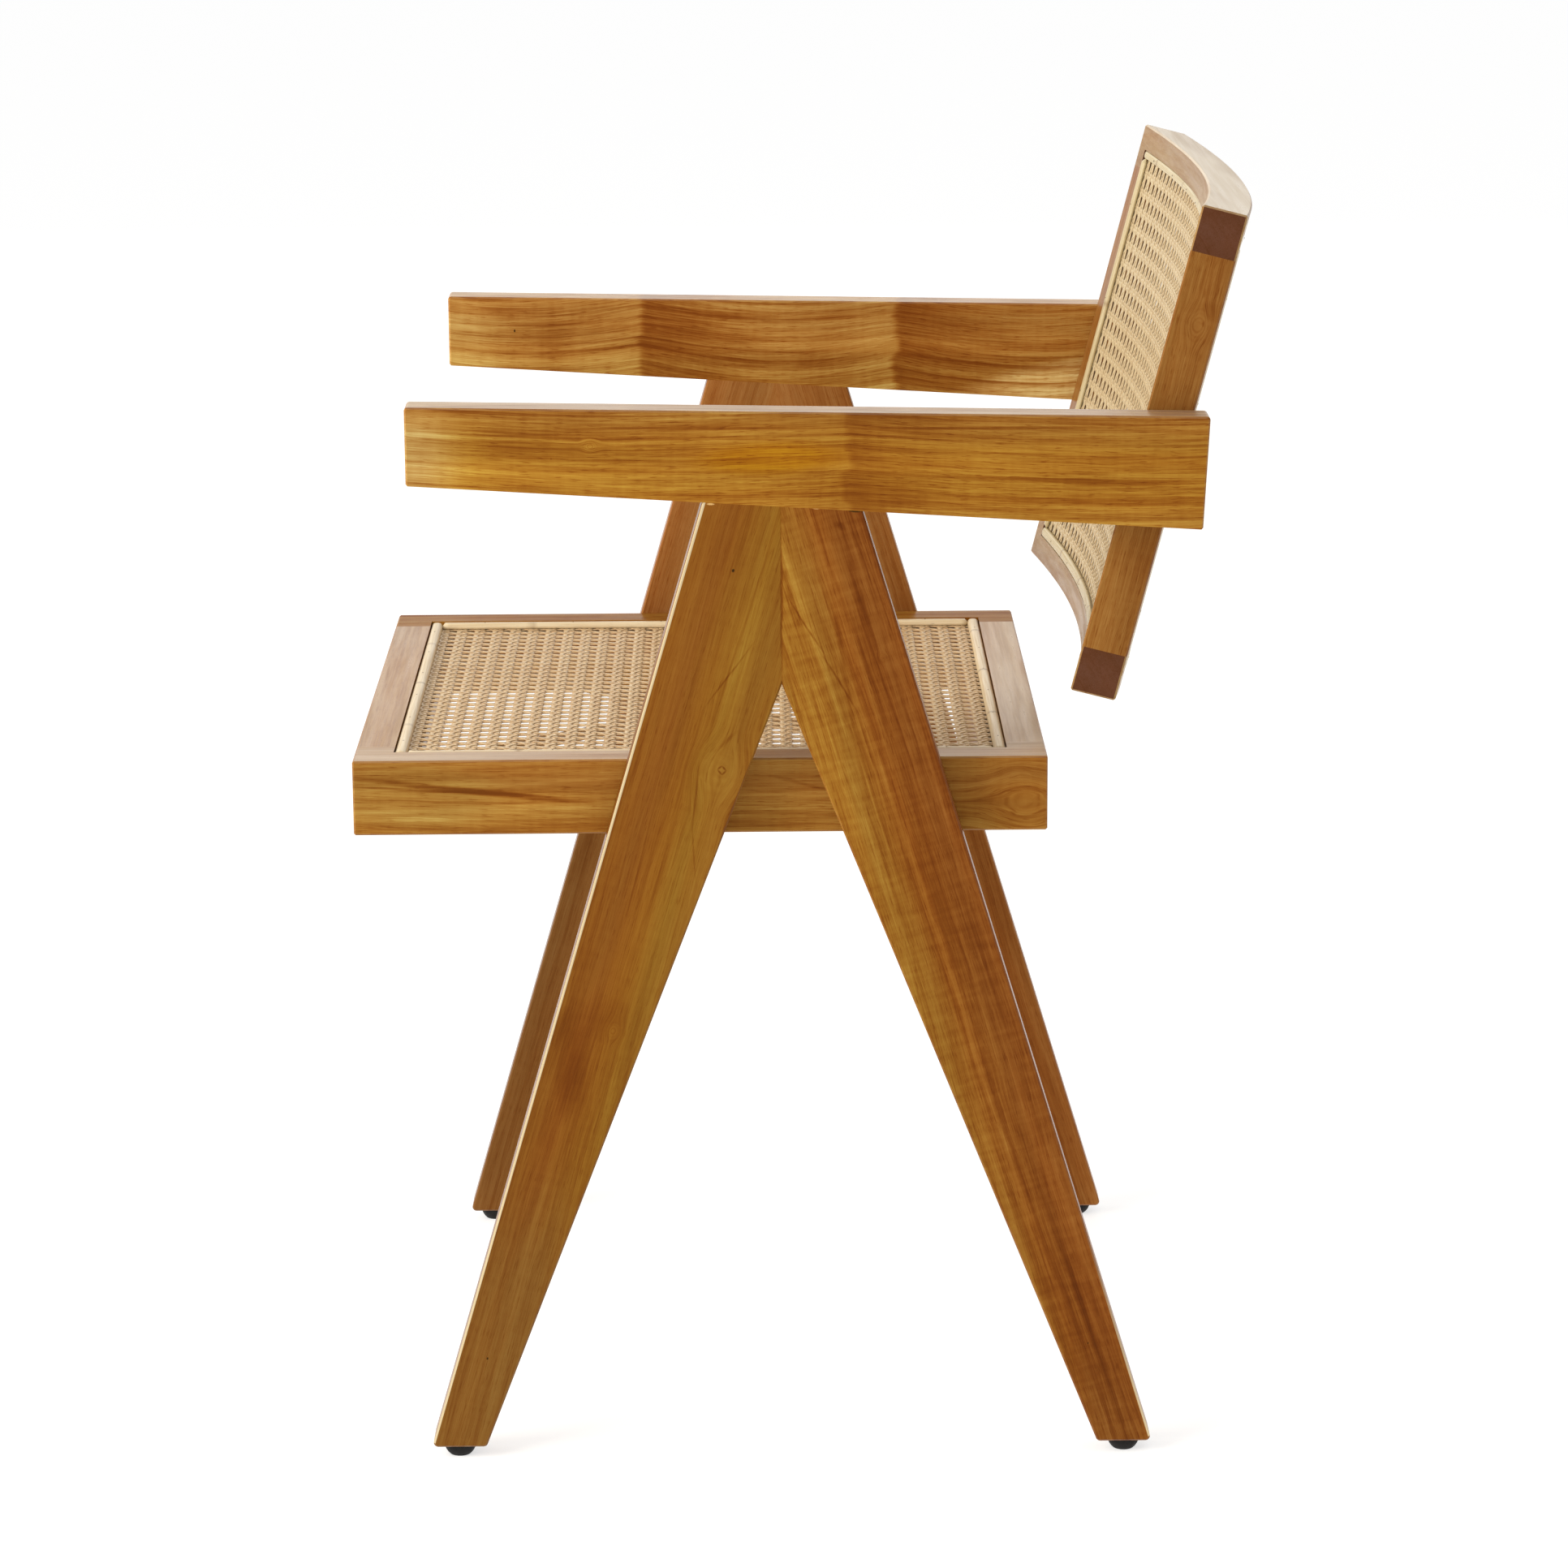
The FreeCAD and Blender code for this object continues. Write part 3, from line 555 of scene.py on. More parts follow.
# Looks of the boards, where the photograph shows them
SEAM_MARK = (-17.7, 505, -17.7, 626, 0.8, 1.0)
FRONT_LEG_LOOK = Look(
    tones=[(0.0, "#774815"), (0.3, "#744213"), (0.55, "#7B4D15"), (0.8, "#7C5418"), (1.0, "#794E17")],
    # edge is a painted highlight along the leg's outer arris
    span=(0, 62), pith=(85, -35), spacing=5.6, taper=0.03, waver=4.0, edge="#BFAF8C", lines=0.5,
    marks=[
        SEAM_MARK,
        # Lines that run from the seam past the knot
        (-33.3, 538.1, -67.5, 492.5, 0.7, 1.0),
        (-24.0, 600.0, -65.2, 470.2, 1.0, 0.8),
        (-69.9, 462.0, -75.0, 415.0, 0.9, 0.9),
        (-75.0, 424.4, -72.0, 380.0, 0.7, 0.7),
        (-45.8, 440.0, -58.0, 405.0, 1.2, 0.8),
        (-58.1, 467.5, -45.4, 480.4, 1.4, 0.7),
        # Painted light beside the seam at the top, painted shade lower down and over the foot, and a dark
        # reddish patch
        (-25.0, 600.0, -70.0, 480.0, 30.0, -0.3),
        (-30.0, 590.0, -62.0, 440.0, 9.0, -0.25),
        (-120.0, 330.0, -205.0, 110.0, 40.0, 0.25),
        (-165.0, 190.0, -265.0, -90.0, 50.0, "#724B1E"),
        (-148.0, 286.0, -156.0, 226.0, 11.0, 1.0),
        # The knot's pale ground, and the diamond in it
        (-58.0, 472.0, -54.0, 434.0, 12.0, -0.5),
        (-58.4, 455.4, -55.0, 457.8, 0.8, 1.7),
        (-55.4, 457.8, -52.4, 454.4, 0.8, 1.7),
        (-52.4, 454.8, -55.4, 451.8, 0.8, 1.7),
        (-55.0, 451.8, -58.4, 455.6, 0.8, 1.7),
        # The darker outer edge, and the change of colour at the lower knot
        (-80.0, 600.0, -150.0, 330.0, 7.0, 0.45),
        (-110.0, 300.0, -190.0, 282.0, 16.0, 0.5),
        # Specks, and filler in the joint with the arm
        (-48.4, 582.0, -46.6, 581.4, 1.2, HOLE),
        (-210.0, 68.4, -208.6, 68.2, 1.0, HOLE),
        (-63.6, 623.6, -58.6, 623.4, 0.7, FILLER)],
    knots=[(-55.2, 454.5, 7.5, 0.5), (-125.9, 286.5, 3.0, 0.7)])
REAR_LEG_LOOK = Look(
    tones=[(0.0, "#8A5C1D"), (0.2, "#84571C"), (0.5, "#7E4917"), (0.75, "#743F14"), (1.0, "#784015")],
    span=(-64, 0), pith=(-95, -45), spacing=6.2, taper=-0.02, shimmer=0.55, streaks=1.4,
    # edge is a painted highlight along the leg's rear arris
    edge="#E0CDA4", lines=0.5, contrast=0.85,
    marks=[
        SEAM_MARK,
        (-15.0, 566.1, 9.9, 526.9, 0.8, 0.9),
        (5.0, 532.0, 30.0, 490.0, 0.8, 0.8),
        # Paler at the top, and painted shade over the foot
        (0.0, 612.0, 22.0, 545.0, 26.0, -0.35),
        (150.0, 150.0, 215.0, 0.0, 34.0, 0.2),
        (185.0, 90.0, 250.0, -90.0, 42.0, "#784519"),
        # Dark streaks down the leg
        (13.1, 569.0, 27.3, 478.2, 2.5, 0.5),
        (21.3, 613.2, 46.0, 479.6, 5.0, 0.45),
        (46.0, 479.6, 102.0, 295.1, 4.0, 0.45),
        (102.0, 295.1, 200.0, 22.1, 3.0, 0.4),
        (27.3, 478.2, 60.0, 370.0, 1.3, 0.6),
        (14.0, 612.0, 24.0, 606.0, 2.5, 0.7),
        # Specks, and filler in the joint with the arm
        (23.8, 618.8, 33.0, 618.4, 1.0, HOLE),
        (1.3, 620.4, 6.3, 620.2, 0.7, FILLER),
        (175.0, 75.2, 175.8, 74.8, 0.7, HOLE)],
    knots=[(44.9, 525.8, 1.4, 1.0)])
NEAR_ARM_LOOK = Look(
    tones=[(0.0, "#996D2B"), (0.35, "#996921"), (0.7, "#91611D"), (1.0, "#8C5E25")],
    span=(-35, 38), pith=(-170, -60), spacing=6.5, taper=0.004, waver=4.0, contrast=1.0,
    arch=(24, 290, 5), flares=[(24, 80, 0.5, 0.0)],
    marks=[
        # The golden middle, and painted reflection paling the front end
        (-75, 650, 26, 653, 11.0, "#925E0B"),
        (-285, 655, -190, 655, 40.0, -0.65),
        (-330, 655, -215, 655, 60.0, "#976C34"),
        # Dark lines
        (30, 670, 190, 669, 1.3, 0.7),
        (-130, 671, 10, 670, 1.1, 0.7),
        (-60, 664, 20, 662, 1.2, 0.5),
        (-250, 665, -140, 661, 1.5, 0.5),
        (80, 640, 240, 632, 2.0, 0.4),
        (-158.8, 652.6, -158.0, 652.6, 0.6, 0.8)],
    knots=[(-134.4, 660.0, 2.0, 0.8)])
FAR_ARM_LOOK = Look(
    tones=[(0.0, "#AC8B4C"), (0.25, "#A37B3A"), (0.6, "#9E6E32"), (1.0, "#A17338")],
    # Its upper face is paled by a painted reflection
    span=(-35, 38), pith=(-90, -50), lines=1.0, contrast=0.95, painted_top_reflection=0.3,
    arch=(-112.6, 180.5, 9), flares=[(-112.6, 100, 0.85, 0.1), (67.9, 100, 0.85, 0.2)],
    marks=[
        # A darker patch, and painted light paling the front end
        (-190, 652, -160, 648, 24.0, 0.35),
        (-285, 650, -205, 650, 40.0, -0.6),
        # The wedge of sapwood, and a speck
        (106, 607, 258, 631, 16.0, "#CDB276"),
        (-202.4, 660.1, -201.0, 660.1, 1.2, HOLE)])
RAIL_TONES = [(0.0, "#916326"), (0.4, "#9C6E2E"), (0.65, "#895822"), (1.0, "#936328")]
RAIL_SPAN = (-24, 24)
NEAR_RAIL_LOOK = Look(
    tones=RAIL_TONES, span=RAIL_SPAN, pith=(45, -70), taper=0.03, bands=1.0, contrast=0.8,
    marks=[
        # Dark lines at the front
        (-300, 447, -122, 426, 2.4, 1.3),
        (-300, 441, -150, 432, 1.2, 0.9),
        (-290, 432, -170, 428, 1.0, 0.5),
        # Painted light at the front, a painted shadow cast by the rear leg, and a dark line
        (-310, 424, -190, 420, 8.0, -0.5),
        (-320, 435, -190, 433, 22.0, "#8C6329"),
        (-310, 452, -200, 450, 5.0, -0.3),
        (90, 432, 170, 430, 20.0, 0.2),
        (-30, 447, 20, 433, 1.5, 0.5)],
    knots=[(134.5, 425.8, 9.0, 0.3)])
FAR_RAIL_LOOK = Look(tones=RAIL_TONES, span=RAIL_SPAN, pith=(30, -90), gloss=0.03, painted_top_reflection=0.0)
STILE_LOOK = Look(
    tones=[(0.0, "#825525"), (0.5, "#875928"), (1.0, "#7C4E21")],
    span=(-16, 30), pith=(-100, -50), lines=0.3, bands=0.5, streaks=0.8, contrast=0.85,
    marks=[
        # Painted shadow just under the arm, darker below it, and darker wood beside the knot
        (222, 646, 214, 628, 16.0, 0.9),
        (212, 614, 200, 560, 20.0, 0.25),
        (246, 745, 250, 730, 5.0, 0.35),
        (250, 712, 262, 700, 6.0, 0.4)],
    knots=[(239.6, 728.6, 4.2, 0.6)])
BACK_RAIL_LOOK = Look(
    tones=[(0.0, "#8F6D43"), (0.5, "#997A4E"), (1.0, "#8B6A41")],
    # Their upper faces are paled strongly by a painted reflection
    span=(-18, 18), pith=(60, -60), streaks=0.8, bands=0.5, contrast=0.4, painted_top_reflection=0.9)


def far_leg_look(turn, lower):
    """Look of a far leg; turn is 1 for the front one, and lower is the painted shade over its lower part, as
    a darkening or a colour.
    """
    return Look(
        tones=[(0.0, "#946132"), (0.5, "#8C5D2F"), (1.0, "#926132")],
        span=(30 * turn - 30, 30 * turn + 32), pith=(90 * turn, -60), waver=4.0, lines=0.5,
        marks=[(-100 * turn - 18, 380, -245 * turn - 18, -60, 70.0, lower)])


def leg_grain(direction, foot_reach, top_width, x=OUTER_FACE):
    """Grain of a leg, parallel to its outer edge, with its origin on that edge."""
    edge = Vector((0, direction * (foot_reach - top_width), -LEG_LENGTH))
    return Grain((x, SEAM_Y + direction * top_width, LEG_TOP), edge)


def paint(node, material):
    nodes[node].data.materials.clear()
    nodes[node].data.materials.append(material)


def paint_side_frames():
    paint("front_leg_left", teak("teak_front_leg", leg_grain(*FRONT_LEG), FRONT_LEG_LOOK))
    paint("rear_leg_left", teak("teak_rear_leg", leg_grain(*REAR_LEG), REAR_LEG_LOOK))
    # The far legs' lower parts get painted shade: a colour on the front one, a darkening on the rear one
    for name, leg, turn, lower in (("front", FRONT_LEG, 1, "#68421F"), ("rear", REAR_LEG, -1, 0.9)):
        grain = leg_grain(*leg, x=-HALF_WIDTH)
        paint(name + "_leg_right", teak("teak_far_%s_leg" % name, grain, far_leg_look(turn, lower)))
    along = (0, 1, -ARM_FALL)
    paint("arm_left", teak("teak_arm", Grain((OUTER_FACE, 0, ARM_MIDDLE), along), NEAR_ARM_LOOK))
    paint("arm_right", teak("teak_far_arm", Grain((-HALF_WIDTH, 0, ARM_MIDDLE), along), FAR_ARM_LOOK))


def paint_seat_frame():
    for side, name, x, fall, look in (("left", "near", HALF_WIDTH, 0.02, NEAR_RAIL_LOOK),
                                      ("right", "far", -HALF_WIDTH, -0.01, FAR_RAIL_LOOK)):
        grain = Grain((x, SIDE_RAIL_MIDDLE, RAIL_HEIGHT), (0, 1, -fall))
        paint("seat_rail_" + side, teak("teak_%s_seat_rail" % name, grain, look))
    # The third number is how strongly a painted reflection pales the rail's upper face
    for end, y, painted_top_reflection in (("front", SEAT_FRONT, 0.25), ("rear", SEAT_REAR, 0.4)):
        look = Look(tones=RAIL_TONES, span=RAIL_SPAN, pith=(20, -70), waver=8.0, bands=1.3, painted_top_reflection=painted_top_reflection)
        grain = Grain((0, y, RAIL_HEIGHT), (1, 0.02, 0), (0, -1, 0))
        paint("seat_rail_" + end, teak("teak_seat_rail_" + end, grain, look))


def paint_back_frame():
    up = Vector((0, math.sin(BACK_TILT), math.cos(BACK_TILT)))
    middle = Vector((0, BACK_Y, BACK_TOP)) - up * BACK_LENGTH / 2
    for side, x in (("left", HALF_WIDTH), ("right", -HALF_WIDTH)):
        paint("back_stile_" + side,
              teak("teak_stile_" + side, Grain((x, middle.y, middle.z), -up), STILE_LOOK))
    for end in ("top", "bottom"):
        low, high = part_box("back_rail_" + end)
        paint("back_rail_" + end, teak(
            "teak_back_rail_" + end, Grain((low + high) / 2, ACROSS, up.cross(ACROSS)), BACK_RAIL_LOOK))


def paint_wood():
    paint_side_frames()
    paint_seat_frame()
    paint_back_frame()
    for node in ("leg_seam_tongues", "seat_to_leg_tongues", "back_to_arm_tongues"):
        paint(node, nodes["seat_rail_rear"].data.materials[0])


# Pieces built here
def piece(name, vertices, faces, material, strand=None, replaces=()):
    """A smooth mesh that rides with the chair; strand is one vector for each vertex."""
    mesh = bpy.data.meshes.new(name)
    mesh.from_pydata([tuple(p) for p in vertices], [], [tuple(face) for face in faces])
    mesh.polygons.foreach_set("use_smooth", [True] * len(mesh.polygons))
    if strand is not None:
        attribute = mesh.attributes.new("strand", "FLOAT_VECTOR", "POINT")
        attribute.data.foreach_set("vector", np.asarray(strand, np.float32).ravel())
    mesh.update()
    mesh.materials.append(material)
    made = bpy.data.objects.new(name, mesh)
    bpy.context.scene.collection.objects.link(made)
    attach(made, "root")
    if replaces:
        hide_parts(*replaces)
    return made


def stacked(parts):
    """Several (vertices, faces, strand) meshes as one."""
    vertices, faces, strand = [], [], []
    start = 0
    for part_vertices, part_faces, part_strand in parts:
        vertices.append(part_vertices)
        faces.append(np.asarray(part_faces) + start)
        strand.append(part_strand)
        start += len(part_vertices)
    return np.concatenate(vertices), np.concatenate(faces), np.concatenate(strand)


# A panel is flat or bowed; points on it are (along its width, along its height, out of its face).
class SeatPanel:
    bead_radius = top_bead_radius = bead_height = BEAD_RADIUS
    bead_base = CANE_THICKNESS / 2
    upright_pair = level_pair = SEAT_PAIR
    diagonal = SEAT_DIAGONAL

    def __init__(self):
        low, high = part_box("seat_cane")
        self.middle = (low + high) / 2
        self.half_width = (high.x - low.x) / 2
        self.half_height = (high.y - low.y) / 2

    def place(self, points):
        return np.asarray(points) + np.array(self.middle)


class BackPanel:
    bead_radius = BACK_BEAD_RADIUS
    top_bead_radius = TOP_BEAD_RADIUS
    bead_base = CANE_THICKNESS / 2 + BEAD_CLEARANCE
    upright_pair = BACK_UPRIGHT_PAIR
    level_pair = BACK_LEVEL_PAIR
    diagonal = BACK_DIAGONAL

    def __init__(self, outward):
        self.outward = outward
        inner = BOW_RADIUS + BACK_REBATE - BEAD_CLEARANCE - CANE_THICKNESS / 2
        outer = BOW_RADIUS + BACK_THICKNESS - BACK_REBATE + BEAD_CLEARANCE + CANE_THICKNESS / 2
        self.radius = inner if outward < 0 else outer
        reach = HALF_WIDTH - BACK_MARGIN - CANE_CLEARANCE
        self.half_width = self.radius * math.asin(reach / self.radius)
        self.half_height = BACK_LENGTH / 2 - BACK_MARGIN - CANE_CLEARANCE
        self.bead_height = FRONT_BEAD_HEIGHT if outward < 0 else REAR_BEAD_HEIGHT

    def place(self, points):
        along, up, out = np.asarray(points).T
        radius = self.radius + self.outward * out
        turn = along / self.radius
        depth = BOW_CENTRE + radius * np.cos(turn)
        height = up - BACK_LENGTH / 2
        return np.column_stack((
            radius * np.sin(turn),
            BACK_Y + depth * math.cos(BACK_TILT) + height * math.sin(BACK_TILT),
            BACK_TOP - depth * math.sin(BACK_TILT) + height * math.cos(BACK_TILT)))


# Six-way cane weave: pairs along and across, and one strand on each diagonal
def strand(path, across, half_width, half_height):
    """A split-cane strand along a path of (u, v, w) points; across is its sideways direction."""
    count = len(path)
    side = np.array([across[0], across[1], 0.0]) * half_width
    rise = np.array([0.0, 0.0, half_height])
    section = np.array([side + rise, rise - side, -side - rise, side - rise])
    vertices = (path[:, None, :] + section[None]).reshape(-1, 3)
    starts = 4 * np.arange(count - 1)
    faces = []
    for i in range(4):
        j = (i + 1) % 4
        faces.append(np.column_stack((starts + i, starts + j, starts + j + 4, starts + i + 4)))
    last = 4 * (count - 1)
    faces.append(np.array([[3, 2, 1, 0], [last, last + 1, last + 2, last + 3]]))
    steps = np.linalg.norm(np.diff(path, axis=0), axis=1)
    along = np.repeat(np.concatenate(([0.0], np.cumsum(steps))) + random.random(), 4)
    sideways = np.tile([1.0, -1.0, -1.0, 1.0], count)
    tone = np.full(4 * count, random.random())
    return vertices, np.concatenate(faces), np.column_stack((along, sideways, tone))


def node_places(half_size, phase):
    """Places of the weave's nodes within a half size, for a phase given in pitches."""
    low = math.ceil(-half_size / CANE_PITCH - phase)
    high = math.floor(half_size / CANE_PITCH - phase)
    return (np.arange(low, high + 1) + phase) * CANE_PITCH


def pair_profile(reach, crossings, crossed_offset, rise):
    """Places along a strand of a pair, and its heights there as it goes over and under."""
    bends = [(-crossed_offset, rise), (crossed_offset, -rise)]
    bends += [(share * CANE_PITCH, sag * rise) for share, sag in SAG_SHARES]
    profile = [(-reach, 0.0)]
    for crossing in crossings:
        profile += [(crossing + offset, height) for offset, height in bends
                    if abs(crossing + offset) < reach]
    profile.append((reach, 0.0))
    return np.array(profile).T


def pair_strands(panel, phases, upright):
    """The two strands of every pair that runs up the panel, or across it."""
    reach, cross_reach = panel.half_height, panel.half_width
    own_pair, crossed_pair = panel.upright_pair, panel.level_pair
    if not upright:
        reach, cross_reach = cross_reach, reach
        own_pair, crossed_pair = crossed_pair, own_pair
    own_offset, half_width = own_pair
    crossings = node_places(reach, phases[1] if upright else phases[0])
    pairs = node_places(cross_reach - own_offset - half_width, phases[0] if upright else phases[1])
    strands = []
    for pair in pairs:
        for side in (-1, 1):
            rise = side * (1 if upright else -1) * PAIR_RISE
            places, heights = pair_profile(reach, crossings, crossed_pair[0], rise)
            fixed = np.full(len(places), pair + side * own_offset)
            path = np.column_stack((fixed, places, heights) if upright else (places, fixed, heights))
            strands.append(strand(path, (1, 0) if upright else (0, 1), half_width, STRAND_HALF_HEIGHT))
    return strands


def diagonal_strands(panel, phases, slope):
    """Every diagonal strand of one slope, halfway between the nodes."""
    width, height = panel.half_width, panel.half_height
    offsets = node_places(width + height, phases[0] - slope * phases[1] + 0.5)
    across = np.array([1.0, -slope]) / math.sqrt(2)
    strands = []
    for offset in offsets:
        low = max(-width, min(offset - height, offset + height))
        high = min(width, max(offset - height, offset + height))
        if high - low < CANE_PITCH:
            continue
        count = max(2, round(DIAGONAL_STEPS * (high - low) / CANE_PITCH) + 1)
        u = np.linspace(low, high, count)
        wave = np.cos(2 * np.pi * (u / CANE_PITCH - phases[0]))
        path = np.column_stack((u, slope * (u - offset), slope * DIAGONAL_RISE * wave))
        strands.append(strand(path, across, panel.diagonal, DIAGONAL_HALF_HEIGHT))
    return strands


def weave(name, panel, phases, material, cad_node):
    straight = pair_strands(panel, phases, True) + pair_strands(panel, phases, False)
    diagonal = diagonal_strands(panel, phases, 1) + diagonal_strands(panel, phases, -1)
    for part, strands in (("pairs", straight), ("diagonals", diagonal)):
        vertices, faces, tones = stacked(strands)
        piece(name + "_" + part, panel.place(vertices), faces, material, tones, [cad_node])


# Beads
def bead_stations(length, thickness, seed):
    """Places along a bead, with its radius and how much of a joint there is at each."""
    own = np.random.default_rng(seed)
    along = np.linspace(0, length, max(3, round(length / BEAD_STEP) + 1))
    joints = np.arange(own.uniform(*FIRST_JOINT), length - JOINT_MARGIN, own.uniform(*JOINT_SPACING))
    ring = sum(np.exp(-((along - joint) / JOINT_WIDTH) ** 2) for joint in joints)
    closeness = np.clip(np.minimum(along, length - along) / BEAD_END, 0, 1)
    rounding = np.sqrt(1 - (1 - closeness) ** 2) * (1 - BEAD_END_SHARE) + BEAD_END_SHARE
    radius = thickness * rounding * (BETWEEN_JOINTS_SHARE + JOINT_SWELL_SHARE * ring)
    return along, radius, ring


def bead(panel, start, end, thickness, seed):
    """A half-round length of rattan on a panel, with joints and rounded ends."""
    start, end = np.array(start), np.array(end)
    length = np.linalg.norm(end - start)
    direction = (end - start) / length
    side = np.array([-direction[1], direction[0]])
    flatness = panel.bead_height / panel.bead_radius
    turns = np.pi * np.arange(BEAD_TURNS + 1) / BEAD_TURNS
    stations = list(zip(*bead_stations(length, thickness, seed)))
    vertices = []
    strands = []
    for place, radius, joint in stations:
        centre = start + direction * place
        for turn in turns:
            across = math.copysign(abs(math.cos(turn)) ** BEAD_FULLNESS, math.cos(turn))
            height = abs(math.sin(turn)) ** BEAD_FULLNESS
            vertices.append((*(centre + side * radius * across),
                             panel.bead_base + radius * flatness * height))
            strands.append((place + seed, across, min(1.0, joint)))
    section = len(turns)
    faces = []
    for i in range(len(stations) - 1):
        for j in range(section):
            a, b = i * section + j, i * section + (j + 1) % section
            faces.append((a, b, b + section, a + section))
    last = section * (len(stations) - 1)
    caps = [tuple(reversed(range(section))), tuple(range(last, last + section))]
    return panel.place(np.array(vertices)), faces + caps, strands


def dome(centre, out, radius, height):
    """A low domed nail head on a surface."""
    out = Vector(out).normalized()
    side = out.orthogonal().normalized()
    other = out.cross(side)
    vertices = []
    for radius_share, height_share in DOME_SHARES:
        for i in range(DOME_SIDES):
            turn = 2 * math.pi * i / DOME_SIDES
            offset = side * math.cos(turn) + other * math.sin(turn)
            vertices.append(Vector(centre) + offset * radius * radius_share + out * height * height_share)
    vertices.append(Vector(centre) + out * height)
    top = len(vertices) - 1
    last = top - DOME_SIDES
    faces = []
    for i in range(DOME_SIDES):
        j = (i + 1) % DOME_SIDES
        faces += [(ring + i, ring + j, ring + DOME_SIDES + j, ring + DOME_SIDES + i)
                  for ring in range(0, last, DOME_SIDES)]
        faces.append((last + i, last + j, top))
    faces.append(tuple(reversed(range(DOME_SIDES))))
    return vertices, faces


def domes(name, spots, radius, height, material):
    vertices, faces = [], []
    for centre, out in spots:
        own_vertices, own_faces = dome(centre, out, radius, height)
        faces += [tuple(i + len(vertices) for i in face) for face in own_faces]
        vertices += own_vertices
    return piece(name, vertices, faces, material)


def bead_runs(panel):
    """Start and end of each bead's middle line. The side beads fit between the top and the bottom."""
    edge_u = panel.half_width + CANE_CLEARANCE - BEAD_CLEARANCE
    edge_v = panel.half_height + CANE_CLEARANCE - BEAD_CLEARANCE
    line_u, line_v = edge_u - panel.bead_radius, edge_v - panel.bead_radius
    top_v = edge_v - panel.top_bead_radius
    foot = line_v - BEAD_BUTT_SHARE * panel.bead_radius
    head = top_v - BEAD_BUTT_SHARE * panel.top_bead_radius
    return {
        "top": ((-edge_u, top_v), (edge_u, top_v)),
        "bottom": ((-edge_u, -line_v), (edge_u, -line_v)),
        "left": ((line_u, -foot), (line_u, head)),
        "right": ((-line_u, -foot), (-line_u, head)),
    }


def pin_spots(panel, start, end):
    """Places and directions of the pins along a bead."""
    start, end = np.array(start), np.array(end)
    count = round(np.linalg.norm(end - start) / PIN_SPACING)
    spots = []
    for i in range(count):
        u, v = start + (end - start) * (i + 0.5) / count
        head = panel.bead_base + PIN_SEAT_SHARE * panel.bead_height
        low, high = panel.place(np.array([(u, v, panel.bead_base), (u, v, head)]))
        spots.append((high, high - low))
    return spots


def beads(prefix, panel, material, pin_material):
    """The four beads of a panel, and their pins."""
    cad_sides = {"top": "rear", "bottom": "front"} if prefix == "seat" else {}
    spots = []
    for seed, (side, (start, end)) in enumerate(bead_runs(panel).items(), BEAD_SEEDS[prefix]):
        thickness = panel.top_bead_radius if side == "top" else panel.bead_radius
        vertices, faces, strands = bead(panel, start, end, thickness, seed)
        piece("%s_round_bead_%s" % (prefix, side), vertices, faces, material, strands,
              ["%s_bead_%s" % (prefix, cad_sides.get(side, side))])
        spots += pin_spots(panel, start, end)
    domes(prefix + "_bead_pins", spots, PIN_RADIUS, PIN_HEIGHT, pin_material)


def strap_tacks(material):
    """Two tacks through each turned-down end of the straps."""
    spots = []
    for name, lean in (("seat_strap_upper", 1), ("seat_strap_lower", -1)):
        low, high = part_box(name)
        for out, x in ((lean, low.x + TACK_INSET), (-lean, high.x - TACK_INSET)):
            y = low.y + STRAP_THICKNESS if out > 0 else high.y - STRAP_THICKNESS
            for shift in (-TACK_SPREAD, TACK_SPREAD):
                spots.append((Vector((x + shift, y, low.z + TACK_LIFT)), (0, out, 0)))
    domes("strap_tacks", spots, TACK_RADIUS, TACK_HEIGHT, material)


# Studio. A lamp is its place, its two sizes and its power, and it looks at the chair's middle.
WARM_WHITE = (1.0, 0.93, 0.82)
LAMPS = {
    "key": ((1.6, -2.6, 1.9), 2.0, 2.0, 100.0),
    "veil": ((-5.0, 0.0, 2.4), 6.0, 2.5, 40.0),
    "left_strip": ((-0.6, -2.4, 0.9), 0.5, 2.0, 8.0),
    "right_strip": ((-0.6, 2.4, 0.9), 0.5, 2.0, 9.0),
}
LAMP_AIM = Vector((0, 0, 0.5))
WORLD_STRENGTH = 0.7
FLOOR_REACH = 300.0
FLOOR_GREY = 0.55
FLOOR_GLOW = 0.6


def floor():
    finish = Finish("floor", {
        "Base Color": (FLOOR_GREY, FLOOR_GREY, FLOOR_GREY, 1), "Roughness": 0.9, "Specular IOR Level": 0.0,
        "Emission Color": (1, 1, 1, 1), "Emission Strength": FLOOR_GLOW})
    mesh = bpy.data.meshes.new("floor")
    corners = [(x * FLOOR_REACH, y * FLOOR_REACH, 0) for x, y in ((-1, -1), (1, -1), (1, 1), (-1, 1))]
    mesh.from_pydata(corners, [], [(0, 1, 2, 3)])
    mesh.materials.append(finish.material)
    made = bpy.data.objects.new("floor", mesh)
    bpy.context.scene.collection.objects.link(made)


def studio():
    floor()
    world = bpy.data.worlds.new("studio")
    world.use_nodes = True
    world.node_tree.nodes["Background"].inputs["Color"].default_value = (1, 1, 1, 1)
    world.node_tree.nodes["Background"].inputs["Strength"].default_value = WORLD_STRENGTH
    bpy.context.scene.world = world
    for name, (place, size_x, size_y, power) in LAMPS.items():
        light = bpy.data.lights.new(name, "AREA")
        light.shape = "RECTANGLE"
        light.size = size_x
        light.size_y = size_y
        light.energy = power
        light.color = WARM_WHITE
        lamp = bpy.data.objects.new(name, light)
        lamp.location = place
        lamp.rotation_euler = (LAMP_AIM - Vector(place)).to_track_quat("-Z", "Y").to_euler()
        bpy.context.scene.collection.objects.link(lamp)
    bpy.context.scene.view_settings.view_transform = "Standard"


